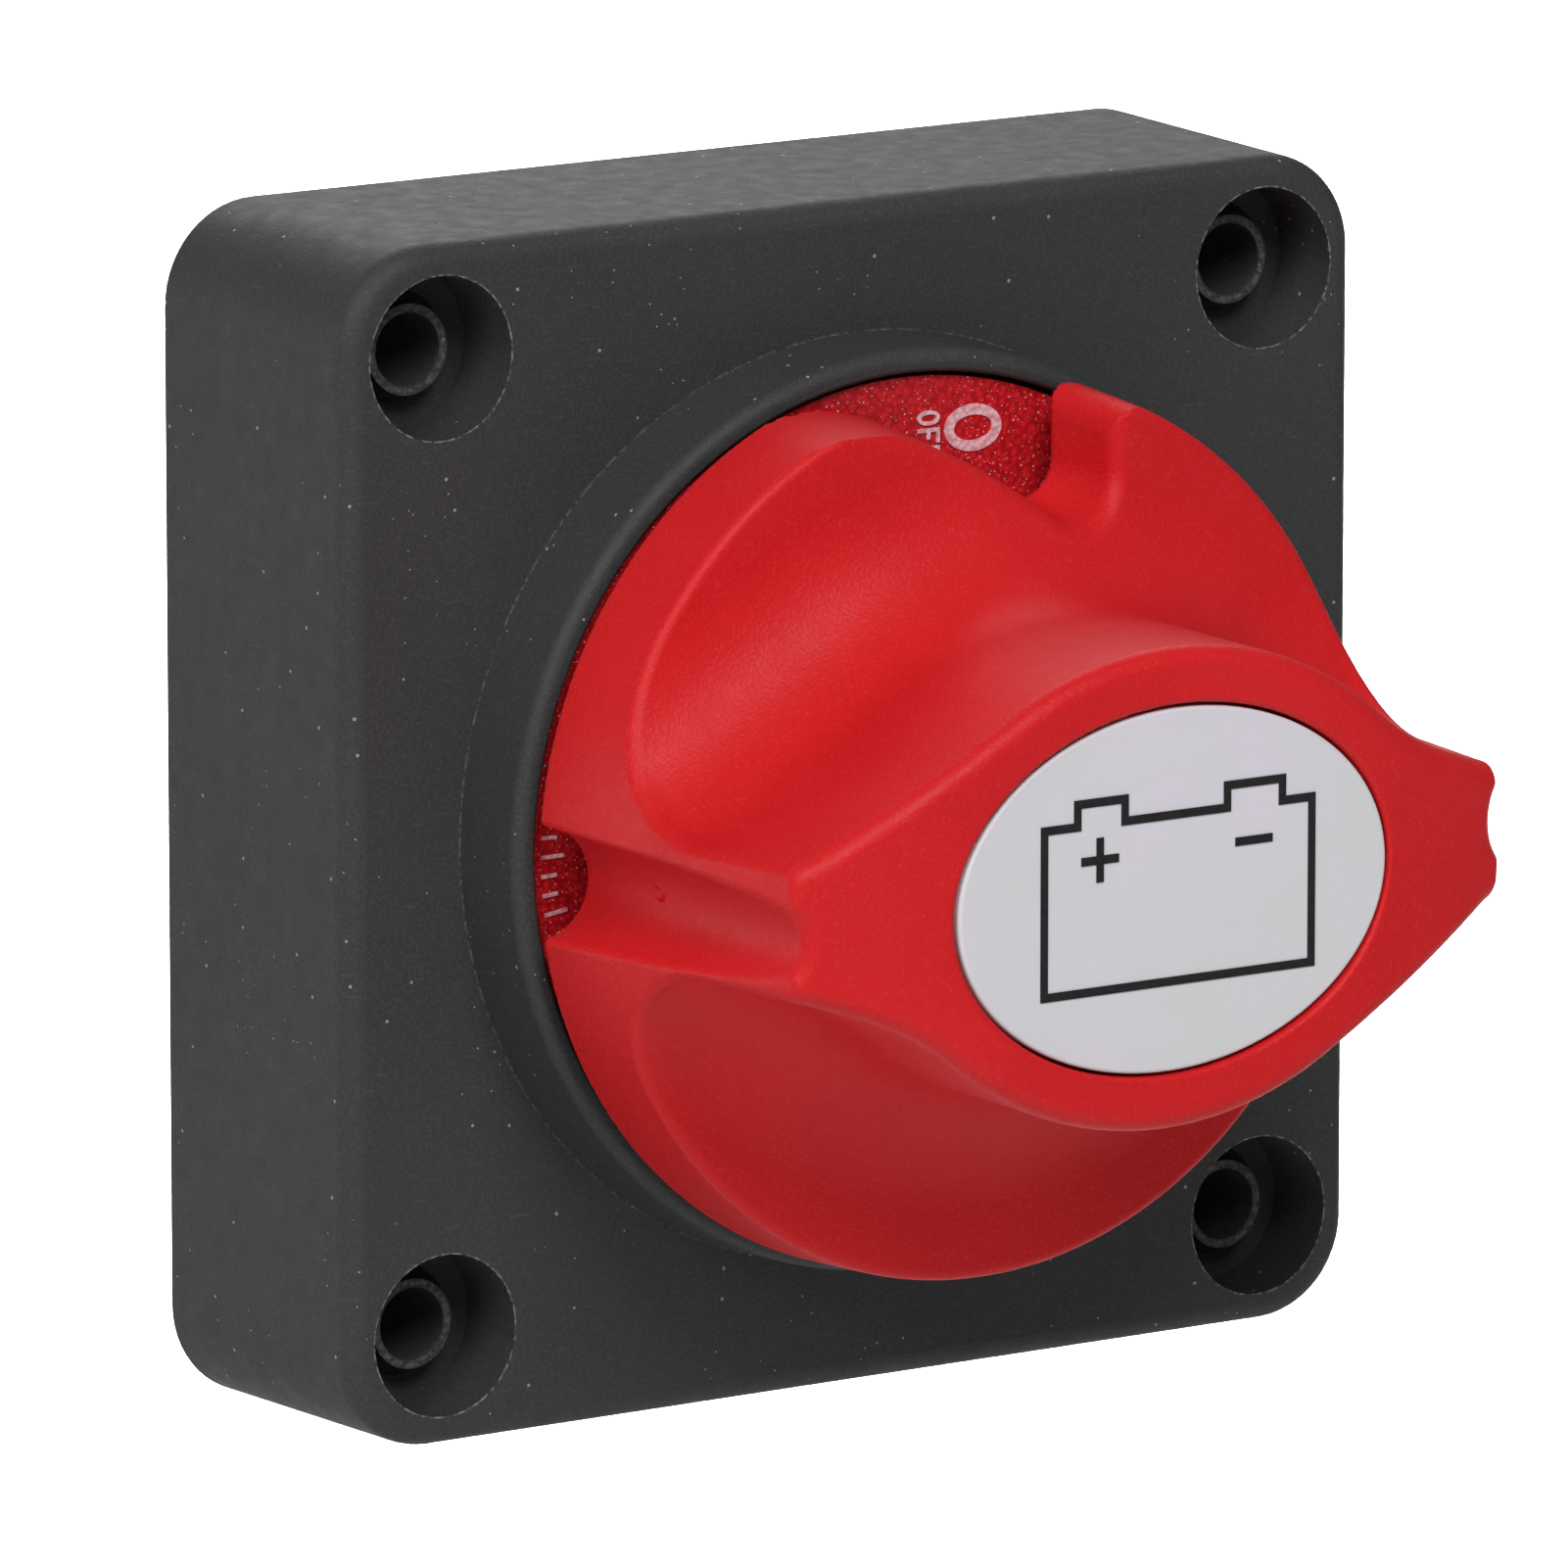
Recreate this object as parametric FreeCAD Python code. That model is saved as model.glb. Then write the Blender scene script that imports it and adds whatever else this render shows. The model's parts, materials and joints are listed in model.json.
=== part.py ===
import FreeCAD, Part
import math
import os

# Rotary battery isolator switch for a boat panel. Millimetres.
# Every piece is drawn in a face-on frame: u to the right, v up, w out of the panel towards the hand,
# with w = 0 on the rear mounting plane. row() then turns it so that X = u, Z = v and Y = -w.

V = FreeCAD.Vector

# ---------------------------------------------------------------- housing
CASE_REAR = 69.0             # square outline at the panel
CASE_FRONT = 68.3            # square outline at the front face, after the mould draft
CASE_DEPTH = 18.5
CASE_CORNER = 5.8            # radius of the four upright edges, at the panel
CASE_CORNER_FRONT = 5.7
CASE_EDGE = 1.3              # rounding round the front face
FACE = CASE_DEPTH            # the front face's height above the panel
CASE_WALL = 2.5
POCKET_DRAFT = 1.2           # the rear pockets narrow by this much towards their roof
FRONT_WALL = 3.2
HOLE_PITCH = 55.6            # mounting holes, centre to centre, both ways
HOLE_R = 2.1
COUNTERBORE_R = 4.65
COUNTERBORE_DEEP = 5.0
LIP_R = 2.6                  # thin tube that stands in each counterbore
LIP_BELOW_FACE = 3.55
LIP_FOOT = (0.6, 0.8)        # small cone at its foot: wider by, high
BOSS_R = 6.5                 # pillar round each mounting hole
COLLAR_R = 26.7
COLLAR_TOP_R = 26.4
COLLAR_IN_R = 25.1
COLLAR_HIGH = 5.4
COLLAR_EDGE = 0.8            # rounding of its outer rim, and of its inner rim
COLLAR_INNER_EDGE = 0.3
COLLAR_FLOOR = 21.75         # seat of the dial inside the collar
CHAMBER_R = 20.5             # round contact chamber
CHAMBER_WALL_R = 27.5
CHAMBER_ROOF = 18.75
RIB = 1.8
RIB_STEP = 45                # degrees between the ribs that stiffen the rear pockets

# ---------------------------------------------------------------- rear closing plate and terminals
BASE_R = 25.9
BASE_SEAT_R = 26.0
BASE_THICK = 4.5
GASKET = 0.5
BASE_SCREW_RING = 22.9       # radius of the circle of the four base screws
BASE_SCREW_R = 1.1
BASE_SCREW_HOLE_R = 1.15     # in the housing
BASE_SCREW_HEAD_R = 2.1
BASE_SCREW_HEAD = 1.6
BASE_SCREW_WELL_R = 2.4      # recess in the base round each head
BASE_SCREW_SINK = 0.2        # heads sit this far inside the rear face
BASE_SCREW_END = 12.5
BASE_SCREW_HOLE = 14.0
BASE_SCREW_CLEAR = 0.4
BASE_RIDGE = (26.0, 2.4)     # insulating ridge between the stud heads: long, thick
HEAD_STOP = (1.4, 7.0, 1.6)  # ribs that stop a stud head turning: thick, long, high
HEAD_STOP_GAP = 0.1
STUD_PITCH = 26.0            # between the two terminal studs
STUD_R = 5.0                 # M10
STUD_REACH = 25.0            # free length behind the mounting plane
STUD_HEAD_R = 6.5
STUD_HEAD_FLATS = 10.4
CONTACT_FACE = 8.0
NUT_FLATS = 16.0
NUT_BORE_R = 5.02
JAM_NUT = 4.5
WASHER = 1.6
SPRING_WASHER = 2.2
TERMINAL_NUT = 7.5
STUD_CHAMFER = 1.0
STUD_RUNOUT = (1.0, 0.6)     # thread run-out groove: wide, deep
WASHER_R = 10.0
SPRING_WASHER_R = 8.6
SPRING_WASHER_SLOT = 1.0
NUT_BEVEL = 0.6
BARRIER = (40.0, 3.0, 14.0)  # insulating wall between the terminals: long, thick, reach
BARRIER_EDGE = 0.7

# ---------------------------------------------------------------- rotor and contacts
SHAFT_R = 6.0
SHAFT_CLEAR = 0.06           # radial running clearance in the front wall
SHAFT_TOP = 24.5             # round below this height, square above it
ROTOR_R = 16.5
ROTOR_LOW = 12.2
ROTOR_HIGH = 18.25
DRIVE_SQUARE = 8.4
DRIVE_ROUND_R = 5.6          # the square's corners are turned off to this
DRIVE_TOP = 38.0
SCREW_HOLE_END = 27.0
JAW = (13.0, 3.0)            # jaws that carry the bridge round: long, thick
JAW_LOW = 9.0
THRUST_WASHER_R = 13.5
RING_SECTION_R = 0.8         # spindle O-ring
RING_GROOVE = (19.3, 21.1)
GUIDE_PIN_R = 2.0
BRIDGE = (35.0, 11.0, 3.0)
BRIDGE_GAP = 0.1
JAW_GAP = 0.15
SPRING_POCKET_R = 4.7
SPRING_POCKET_ROOF = 17.2
CONTACT_SPRING_R = 3.7
CONTACT_WIRE_R = 0.55
PLUNGER_R = 2.0
PLUNGER_TIP = 17.5
PLUNGER_LONG = 6.3
PLUNGER_W = 15.2
PLUNGER_HOLE_R = 2.05
PLUNGER_HOLE_END = 7.4
DETENT_WIRE_R = 0.25
DETENT_SPRING_R = 1.45
DETENT_RING_IN = 17.7
DETENT_RING_W = (13.0, 18.2)
NOTCH_R = 2.35
STOP_ANGLE = 225.0
STOP_WIDE = 3.0
STOP_IN_R = 15.0
STOP_RADIAL_GAP = 0.4        # between the stop's end and the rotor's cut-away rim
STOP_SPARE = 1.6             # degrees left over at each end of the turn
TURN = 90.0

# ---------------------------------------------------------------- dial
DIAL_R = 24.8
DIAL_THICK = 1.5
DIAL_HOLE_R = 7.5
PRINT = 0.1                  # height of the pad printing
PEG_R = 1.0                  # two pegs under the dial set its angle
PEG_LONG = 1.4
PEG_RING = 18.0
PEG_ANGLES = (30, 210)

# ---------------------------------------------------------------- knob, heights h above the front face
KNOB_LOW = 6.7
KNOB_SET = 2.0               # degrees: grip, flutes and label stand this far anticlockwise of level
KNOB_R = 25.9                # rim at its lower edge
KNOB_MID = (25.5, 13.0)      # the drafted outer wall passes here
KNOB_HIGH = (23.8, 28.9)     # and here, at the tips of the grip
KNOB_TOP = 31.7
CROWN_FLAT = 10.0            # the top is flat this far each side, then falls away
CROWN_R = 40.0
FLOOR_H = 12.9               # finger scoops: level floor
SCOOP_R = 8.0                # and the hollow blend up to the grip
GRIP_HALF = 13.55            # half height of the grip at its middle
GRIP_ARC = 21.5              # outer bow of the grip
FULL_FLANK = (27.7, 0.0, 27.7)       # bow ends at (degrees), radius of the hollow, slope of the straight
HOLLOW_FLANK = (42.0, 17.6, 22.0)    # the two flanks alternate round the grip
NECK_FROM = 22.0             # both straights bend level from here
NECK_R = 6.0
TROUGH_LOW = (3.2, 3.2)      # flute down each end of the grip at its foot: half width, depth
TROUGH_HIGH = (2.9, 2.8)     # and at its head
WINDOW_RIGHT = 8.35          # right side of the sight window in the skirt
LABEL_HALF = (14.3, 10.2)
LABEL_TOP = 31.45
LABEL_THICK = 1.4
LABEL_GAP = 0.12
KNOB_BOSS_R = 8.2
SOCKET_GAP = 0.1
SOCKET_ROOF = 38.1
SCREW_SEAT = 41.0
SCREW_R = 2.05               # knob screw
SCREW_HOLE_R = 2.1           # the tapped hole in the spindle that takes it
SCREW_CLEAR_R = 2.7
SCREW_HEAD_R = 4.4
SCREW_HEAD = 2.6
SCREW_POCKET_R = 5.4
HOLLOW_R = 15.0              # moulding hollow under the skirt
HOLLOW_H = 10.2
GRIP_HOLLOW = (16.5, 9.8)    # oval hollow inside the grip: half axes
GRIP_HOLLOW_ROOF = 25.7
FAR = 38.0                   # helper solids run out to here, clear of the knob
KNOB_WASHER_R = 5.0
KNOB_WASHER = 1.0
KNOB_SCREW_END = 28.5
LABEL_EDGE = 0.2
INK = 0.06                   # height of the sign printed on the label
ICON_LINE = 0.48


def row(shape):
    """Turns a shape from the face-on frame into the part's frame."""
    turned = shape.copy()
    turned.rotate(V(0, 0, 0), V(1, 0, 0), 90)
    return turned


def save(name, *solids):
    shape = solids[0] if len(solids) == 1 else Part.makeCompound(list(solids))
    row(shape).exportStep(os.path.join("parts", name + ".step"))


def cyl(radius, low, high, u=0.0, v=0.0):
    return Part.makeCylinder(radius, high - low, V(u, v, low))


def tube(inner, outer, low, high, u=0.0, v=0.0):
    return cyl(outer, low, high, u, v).cut(cyl(inner, low - 1, high + 1, u, v))


def block(u_size, v_size, low, high, u=0.0, v=0.0):
    return Part.makeBox(u_size, v_size, high - low, V(u - u_size / 2, v - v_size / 2, low))


def polar(radius, degrees):
    a = math.radians(degrees)
    return radius * math.cos(a), radius * math.sin(a)


def prism(points, low, high):
    wire = Part.makePolygon([V(x, y, low) for x, y in points + points[:1]])
    return Part.Face(wire).extrude(V(0, 0, high - low))


def ellipse_prism(a, b, low, high, u=0.0, v=0.0):
    if a >= b:
        curve = Part.Ellipse(V(u, v, low), a, b)
    else:
        curve = Part.Ellipse(V(u, v + b, low), V(u + a, v, low), V(u, v, low))
    return Part.Face(Part.Wire(curve.toShape())).extrude(V(0, 0, high - low))


def sector(inner, outer, start, end, low, high):
    """A ring segment from start to end degrees."""
    ring = Part.makeCylinder(outer, high - low, V(0, 0, low), V(0, 0, 1), end - start)
    ring.rotate(V(0, 0, 0), V(0, 0, 1), start)
    return ring.cut(cyl(inner, low - 1, high + 1))


def spun(shape, degrees):
    turned = shape.copy()
    turned.rotate(V(0, 0, 0), V(0, 0, 1), degrees)
    return turned


def hexagon(flats, low, high, u, v):
    corner = flats / math.sqrt(3)
    points = [polar(corner, 60 * k + 30) for k in range(6)]
    body = prism([(u + x, v + y) for x, y in points], low, high)
    tall = high - low + NUT_BEVEL
    bevel = Part.makeCone(corner + tall - NUT_BEVEL, corner - NUT_BEVEL, tall, V(u, v, low))
    far = Part.makeCone(corner - NUT_BEVEL, corner + tall - NUT_BEVEL, tall, V(u, v, low - NUT_BEVEL))
    return body.common(bevel).common(far)


def coil(radius, wire, low, high, turns):
    """A compression spring along w, its ends resting at low and high."""
    pitch = (high - low - 2 * wire) / turns
    path = Part.Wire(Part.makeHelix(pitch, pitch * turns, radius).Edges)
    ring = Part.Wire(Part.Circle(V(radius, 0, 0), V(0, 1, 0), wire).toShape())
    spring = path.makePipeShell([ring], True, True)
    spring.translate(V(0, 0, low + wire))
    return spring


def hole_centres():
    half = HOLE_PITCH / 2
    return [(su * half, sv * half) for su in (-1, 1) for sv in (-1, 1)]


def base_screw_centres():
    return [polar(BASE_SCREW_RING, 45 + 90 * k) for k in range(4)]


def peg_centres():
    return [polar(PEG_RING, angle) for angle in PEG_ANGLES]


def stud_centres():
    return [(0, STUD_PITCH / 2), (0, -STUD_PITCH / 2)]


# ---------------------------------------------------------------- housing pieces
def rounded_square(side, corner, w):
    flat = side / 2 - corner
    diagonal = corner * math.sqrt(0.5)
    edges = []
    for k in range(4):
        spin = FreeCAD.Rotation(V(0, 0, 1), 90 * k)
        start = spin.multVec(V(side / 2, -flat, w))
        end = spin.multVec(V(side / 2, flat, w))
        middle = spin.multVec(V(flat + diagonal, flat + diagonal, w))
        after = spin.multVec(V(flat, side / 2, w))
        edges.append(Part.LineSegment(start, end).toShape())
        edges.append(Part.Arc(end, middle, after).toShape())
    return Part.Wire(edges)


def case_block():
    rear = rounded_square(CASE_REAR, CASE_CORNER, 0)
    front = rounded_square(CASE_FRONT, CASE_CORNER_FRONT, FACE)
    body = Part.makeLoft([rear, front], True, True)
    front_edges = [e for e in body.Edges if all(abs(p.z - FACE) < 0.01 for p in e.discretize(3))]
    return body.makeFillet(CASE_EDGE, front_edges)


def rim_edges(ring, height, low_r, high_r):
    """The circles at one height whose radius lies between two values."""
    def fits(edge):
        box = edge.BoundBox
        level = abs(box.ZMin - height) < 0.01 and abs(box.ZMax - height) < 0.01
        return level and low_r < box.XMax < high_r
    return [edge for edge in ring.Edges if fits(edge)]


def collar():
    top = FACE + COLLAR_HIGH
    ring = Part.makeCone(COLLAR_R, COLLAR_TOP_R, COLLAR_HIGH, V(0, 0, FACE))
    ring = ring.fuse(cyl(COLLAR_R, FACE - 1, FACE)).removeSplitter()
    ring = ring.cut(cyl(COLLAR_IN_R, COLLAR_FLOOR, top + 1))
    middle = (COLLAR_IN_R + COLLAR_TOP_R) / 2
    ring = ring.makeFillet(COLLAR_EDGE, rim_edges(ring, top, middle, COLLAR_R))
    return ring.makeFillet(COLLAR_INNER_EDGE, rim_edges(ring, top, 0, COLLAR_IN_R + 0.01))


def rear_pockets():
    """The moulding hollows behind the front wall, with the bosses and ribs left standing."""
    inside = CASE_REAR - 2 * CASE_WALL
    roof = FACE - FRONT_WALL
    hollow = Part.makeLoft([
        rounded_square(inside, CASE_CORNER - CASE_WALL, -1),
        rounded_square(inside - POCKET_DRAFT, CASE_CORNER - CASE_WALL, roof),
    ], True, True)
    hollow = hollow.cut(cyl(CHAMBER_WALL_R, -2, FACE))
    for u, v in hole_centres():
        hollow = hollow.cut(cyl(BOSS_R, -2, FACE, u, v))
    for angle in range(0, 180, RIB_STEP):
        hollow = hollow.cut(spun(block(2 * CASE_REAR, RIB, -2, FACE), angle))
    return hollow


def mounting_hole(u, v):
    """Counterbore with a thin raised tube round the through hole."""
    floor = FACE - COUNTERBORE_DEEP
    lip_top = FACE - LIP_BELOW_FACE
    well = cyl(COUNTERBORE_R, floor, FACE + 1, u, v)
    lip = cyl(LIP_R, floor, lip_top, u, v)
    wider, high = LIP_FOOT
    foot = Part.makeCone(LIP_R + wider, LIP_R, high, V(u, v, floor))
    return well.cut(lip).cut(foot).fuse(cyl(HOLE_R, -1, FACE, u, v))


def housing():
    body = case_block().fuse(collar())
    body = body.cut(rear_pockets())
    body = body.cut(cyl(BASE_SEAT_R, -1, BASE_THICK + GASKET))
    body = body.cut(cyl(CHAMBER_R, 0, CHAMBER_ROOF))
    body = body.cut(cyl(SHAFT_R + SHAFT_CLEAR, 0, FACE + COLLAR_HIGH))
    for u, v in hole_centres():
        body = body.cut(mounting_hole(u, v))
    for u, v in base_screw_centres():
        body = body.cut(cyl(BASE_SCREW_HOLE_R, 0, BASE_SCREW_HOLE, u, v))
    for u, v in peg_centres():
        body = body.cut(cyl(PEG_R + 0.05, COLLAR_FLOOR - PEG_LONG - 0.2, COLLAR_FLOOR + 1, u, v))
    return body


# ---------------------------------------------------------------- rear pieces
def contact_base():
    plate = cyl(BASE_R, 0, BASE_THICK)
    long, thick, reach = BARRIER
    plate = plate.fuse(block(long, thick, -reach, 1))
    corners = [e for e in plate.Edges if abs(e.BoundBox.ZMax - 0) < 0.01 and e.BoundBox.ZMin < 1 - reach]
    plate = plate.makeFillet(BARRIER_EDGE, corners)
    plate = plate.fuse(block(*BASE_RIDGE, BASE_THICK - 1, CONTACT_FACE - 0.6))
    stop_thick, stop_long, stop_high = HEAD_STOP
    stop_u = STUD_HEAD_FLATS / 2 + HEAD_STOP_GAP + stop_thick / 2
    for u, v in stud_centres():
        for side in (-1, 1):
            stop = block(stop_thick, stop_long, BASE_THICK - 1, BASE_THICK + stop_high, side * stop_u, v)
            plate = plate.fuse(stop)
        plate = plate.cut(cyl(STUD_R + 0.05, -1, BASE_THICK + 1, u, v))
    for u, v in base_screw_centres():
        plate = plate.cut(cyl(BASE_SCREW_R + BASE_SCREW_CLEAR, -1, BASE_THICK + 1, u, v))
        plate = plate.cut(cyl(BASE_SCREW_WELL_R, -1, BASE_SCREW_HEAD + BASE_SCREW_SINK, u, v))
    return plate.removeSplitter()


def base_gasket():
    ring = tube(CHAMBER_R + 0.1, BASE_R, BASE_THICK, BASE_THICK + GASKET)
    for u, v in base_screw_centres():
        ring = ring.cut(cyl(BASE_SCREW_R + BASE_SCREW_CLEAR, 0, BASE_SCREW_END, u, v))
    return ring


def cross_recess(u, v, low, high, arm, web):
    return block(arm, web, low, high, u, v).fuse(block(web, arm, low, high, u, v))


def base_screw(u, v):
    head_low = BASE_SCREW_SINK
    head_high = head_low + BASE_SCREW_HEAD
    head = cyl(BASE_SCREW_HEAD_R, head_low, head_high, u, v)
    head = head.makeFillet(0.5, [e for e in head.Edges if e.BoundBox.ZMax < head_low + 0.01])
    screw = head.fuse(cyl(BASE_SCREW_R, head_high, BASE_SCREW_END, u, v)).removeSplitter()
    return screw.cut(cross_recess(u, v, -1, head_low + 0.9, 2.4, 0.6))


def terminal_stud(u, v):
    """Round head with two flats inside the chamber, threaded shank out of the back."""
    head = cyl(STUD_HEAD_R, BASE_THICK, CONTACT_FACE, u, v)
    head = head.common(block(STUD_HEAD_FLATS, 20, BASE_THICK, CONTACT_FACE, u, v))
    runout, groove = STUD_RUNOUT
    nut_end = -(JAM_NUT + WASHER + SPRING_WASHER + TERMINAL_NUT)
    stud = head.fuse(cyl(STUD_R, nut_end, BASE_THICK, u, v))
    stud = stud.fuse(cyl(STUD_R - groove, nut_end - runout, nut_end, u, v))
    stud = stud.fuse(cyl(STUD_R, STUD_CHAMFER - STUD_REACH, nut_end - runout, u, v))
    tip = Part.makeCone(STUD_R - STUD_CHAMFER, STUD_R, STUD_CHAMFER, V(u, v, -STUD_REACH))
    return stud.fuse(tip).removeSplitter()


def nut(u, v, low, high):
    return hexagon(NUT_FLATS, low, high, u, v).cut(cyl(NUT_BORE_R, low - 1, high + 1, u, v))


def spring_washer(u, v, low, high):
    ring = tube(STUD_R + 0.1, SPRING_WASHER_R, low, high, u, v)
    return ring.cut(block(5.0, SPRING_WASHER_SLOT, low - 1, high + 1, u + 7.5, v))


def flat_washer(u, v, low, high):
    return tube(STUD_R + 0.2, WASHER_R, low, high, u, v)


# ---------------------------------------------------------------- rotor pieces
def rotor():
    bridge_half = BRIDGE[1] / 2 + JAW_GAP
    disc = cyl(ROTOR_R, ROTOR_LOW, ROTOR_HIGH)
    shaft = cyl(SHAFT_R, ROTOR_HIGH, SHAFT_TOP)
    square = block(DRIVE_SQUARE, DRIVE_SQUARE, SHAFT_TOP, DRIVE_TOP)
    square = square.common(cyl(DRIVE_ROUND_R, SHAFT_TOP - 1, DRIVE_TOP))
    body = disc.fuse([shaft, square])
    body = body.cut(cyl(SPRING_POCKET_R, ROTOR_LOW - 1, SPRING_POCKET_ROOF))
    body = body.fuse(cyl(GUIDE_PIN_R, JAW_LOW, SPRING_POCKET_ROOF))
    jaw_long, jaw_thick = JAW
    for side in (-1, 1):
        jaw_v = side * (bridge_half + jaw_thick / 2)
        body = body.fuse(block(jaw_long, jaw_thick, JAW_LOW, ROTOR_LOW, 0, jaw_v))
    start, end = stop_span()
    floor_r = STOP_IN_R - STOP_RADIAL_GAP
    body = body.cut(sector(floor_r, ROTOR_R + 1, start, end, ROTOR_LOW - 1, ROTOR_HIGH + 1))
    body = body.cut(plunger_drilling())
    body = body.cut(tube(SHAFT_R - 2 * RING_SECTION_R, SHAFT_R + 1, *RING_GROOVE))
    body = body.cut(cyl(SCREW_HOLE_R, SCREW_HOLE_END, DRIVE_TOP + 1))
    return body.removeSplitter()


def stop_span():
    """Where the rim is cut away so that the stop lets the rotor turn through TURN degrees."""
    spare = math.degrees(STOP_WIDE / 2 / STOP_IN_R) + STOP_SPARE
    return STOP_ANGLE - spare, STOP_ANGLE + TURN + spare


def radial(solid, side):
    """Lays a solid drawn along w on its side, pointing out along u at the plungers' height."""
    turned = solid.copy()
    turned.rotate(V(0, 0, 0), V(0, 1, 0), 90)
    turned.translate(V(0, 0, PLUNGER_W))
    return turned if side > 0 else spun(turned, 180)


def plunger_drilling():
    hole = cyl(PLUNGER_HOLE_R, PLUNGER_HOLE_END, ROTOR_R + 2)
    return radial(hole, 1).fuse(radial(hole, -1))


def detent_plunger(side):
    nose = PLUNGER_TIP - PLUNGER_R
    body = cyl(PLUNGER_R, PLUNGER_TIP - PLUNGER_LONG, nose)
    body = body.fuse(Part.makeSphere(PLUNGER_R, V(0, 0, nose), V(0, 0, 1), 0, 90))
    return radial(body.removeSplitter(), side)


def detent_spring(side):
    seat = PLUNGER_TIP - PLUNGER_LONG
    return radial(coil(DETENT_SPRING_R, DETENT_WIRE_R, PLUNGER_HOLE_END, seat, 4.0), side)


def detent_ring():
    low, high = DETENT_RING_W
    ring = tube(DETENT_RING_IN, CHAMBER_R, low, high)
    notch_u = DETENT_RING_IN - PLUNGER_R + 0.45
    for k in range(4):
        ring = ring.cut(spun(cyl(NOTCH_R, low - 1, high + 1, notch_u), 90 * k))
    reach = DETENT_RING_IN + 1 - STOP_IN_R
    lug = block(reach, STOP_WIDE, low, high - 1, STOP_IN_R + reach / 2, 0)
    return ring.fuse(spun(lug, STOP_ANGLE)).removeSplitter()


def o_ring():
    middle = (RING_GROOVE[0] + RING_GROOVE[1]) / 2
    return Part.makeTorus(SHAFT_R - RING_SECTION_R, RING_SECTION_R - 0.01, V(0, 0, middle))


def contact_bridge():
    long, wide, thick = BRIDGE
    low = CONTACT_FACE + BRIDGE_GAP
    bar = block(long, wide, low, low + thick)
    bar = bar.common(cyl(long / 2, low, low + thick))
    bar = bar.cut(cyl(GUIDE_PIN_R + 0.2, low - 1, low + thick + 1))
    ends = [e for e in bar.Edges if abs(e.BoundBox.ZMin - low) < 0.01 and abs(e.BoundBox.ZMax - low) < 0.01]
    arcs = [e for e in ends if abs(e.CenterOfMass.x) > 12]
    return bar.makeChamfer(0.5, arcs)


# ---------------------------------------------------------------- dial
def dial_disc():
    top = COLLAR_FLOOR + DIAL_THICK
    disc = tube(DIAL_HOLE_R, DIAL_R, COLLAR_FLOOR, top)
    for u, v in peg_centres():
        disc = disc.fuse(cyl(PEG_R, COLLAR_FLOOR - PEG_LONG, COLLAR_FLOOR + 0.5, u, v))
    return disc.removeSplitter()


def stroke(start, end, width):
    """A straight bar of a printed character, from start to end."""
    (x0, y0), (x1, y1) = start, end
    length = math.hypot(x1 - x0, y1 - y0)
    nx, ny = (y1 - y0) / length * width / 2, (x0 - x1) / length * width / 2
    low = COLLAR_FLOOR + DIAL_THICK
    corners = [(x0 + nx, y0 + ny), (x1 + nx, y1 + ny), (x1 - nx, y1 - ny), (x0 - nx, y0 - ny)]
    return prism(corners, low, low + PRINT)


def letter(name, wide, high, width):
    """One upright character centred on the origin."""
    x = (wide - width) / 2
    y = (high - width) / 2
    low = COLLAR_FLOOR + DIAL_THICK
    if name in "0O":
        outer = ellipse_prism(wide / 2, high / 2, low, low + PRINT)
        return outer.cut(ellipse_prism(wide / 2 - width, high / 2 - width, low - 1, low + 1))
    bars = {
        "1": [((0, -high / 2), (0, high / 2)), ((0, y), (-x, y - 0.3 * high))],
        "F": [((-x, -high / 2), (-x, high / 2)), ((-x, y), (wide / 2, y)), ((-x, 0), (wide / 2 - width, 0))],
        "N": [((-x, -high / 2), (-x, high / 2)), ((x, -high / 2), (x, high / 2)), ((-x, y), (x, -y))],
    }[name]
    solids = [stroke(start, end, width) for start, end in bars]
    return solids[0].fuse(solids[1:]).removeSplitter()


def word(text, u, v, wide, high, width, pitch):
    """Characters read with the dial's right-hand side up, centred on (u, v)."""
    placed = []
    for k, name in enumerate(text):
        glyph = letter(name, wide, high, width)
        glyph.translate(V((k - (len(text) - 1) / 2) * pitch, 0, 0))
        glyph = spun(glyph, -90)
        glyph.translate(V(u, v, 0))
        placed.append(glyph)
    return placed


def dial_numerals():
    """0 and OFF beside the top window, 1 and ON where that window stands after a quarter turn."""
    off = word("0", 4.5, 21.5, 2.7, 3.85, 0.62, 3.0) + word("OFF", 1.5, 21.3, 0.85, 1.5, 0.22, 1.02)
    on = word("1", 22.4, -3.0, 1.7, 3.2, 0.6, 3.0) + word("ON", 19.3, -3.0, 1.2, 1.6, 0.28, 1.6)
    return off + on


def dial_ticks():
    """Plain radial marks at the left of the dial."""
    marks = []
    for k in range(-3, 4):
        inner = 22.9 if k % 3 == 0 else 23.4
        marks.append(stroke(polar(inner, 180 + 2.6 * k), polar(24.4, 180 + 2.6 * k), 0.22))
    return marks


# ---------------------------------------------------------------- knob
def knob_body():
    """The drafted round body, one arc from the rim to the tips of the grip."""
    def at(radius, height):
        return V(radius, 0, FACE + height)
    low, top = KNOB_LOW, KNOB_TOP + 2
    foot = V(KNOB_R, 0, FACE + low)
    tip = at(KNOB_HIGH[0] - 0.75, KNOB_HIGH[1] + 4.8)
    wall = Part.Arc(foot, at(*KNOB_MID), at(*KNOB_HIGH)).toShape()
    rest = Part.LineSegment(at(*KNOB_HIGH), tip).toShape()
    lid = Part.LineSegment(tip, V(0, 0, tip.z)).toShape()
    axis = Part.LineSegment(V(0, 0, tip.z), V(0, 0, FACE + low)).toShape()
    base = Part.LineSegment(V(0, 0, FACE + low), foot).toShape()
    body = Part.Face(Part.Wire([wall, rest, lid, axis, base])).revolve(V(0, 0, 0), V(0, 0, 1), 360)
    return body.common(crown(FACE + low - 1, FACE + top))


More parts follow.
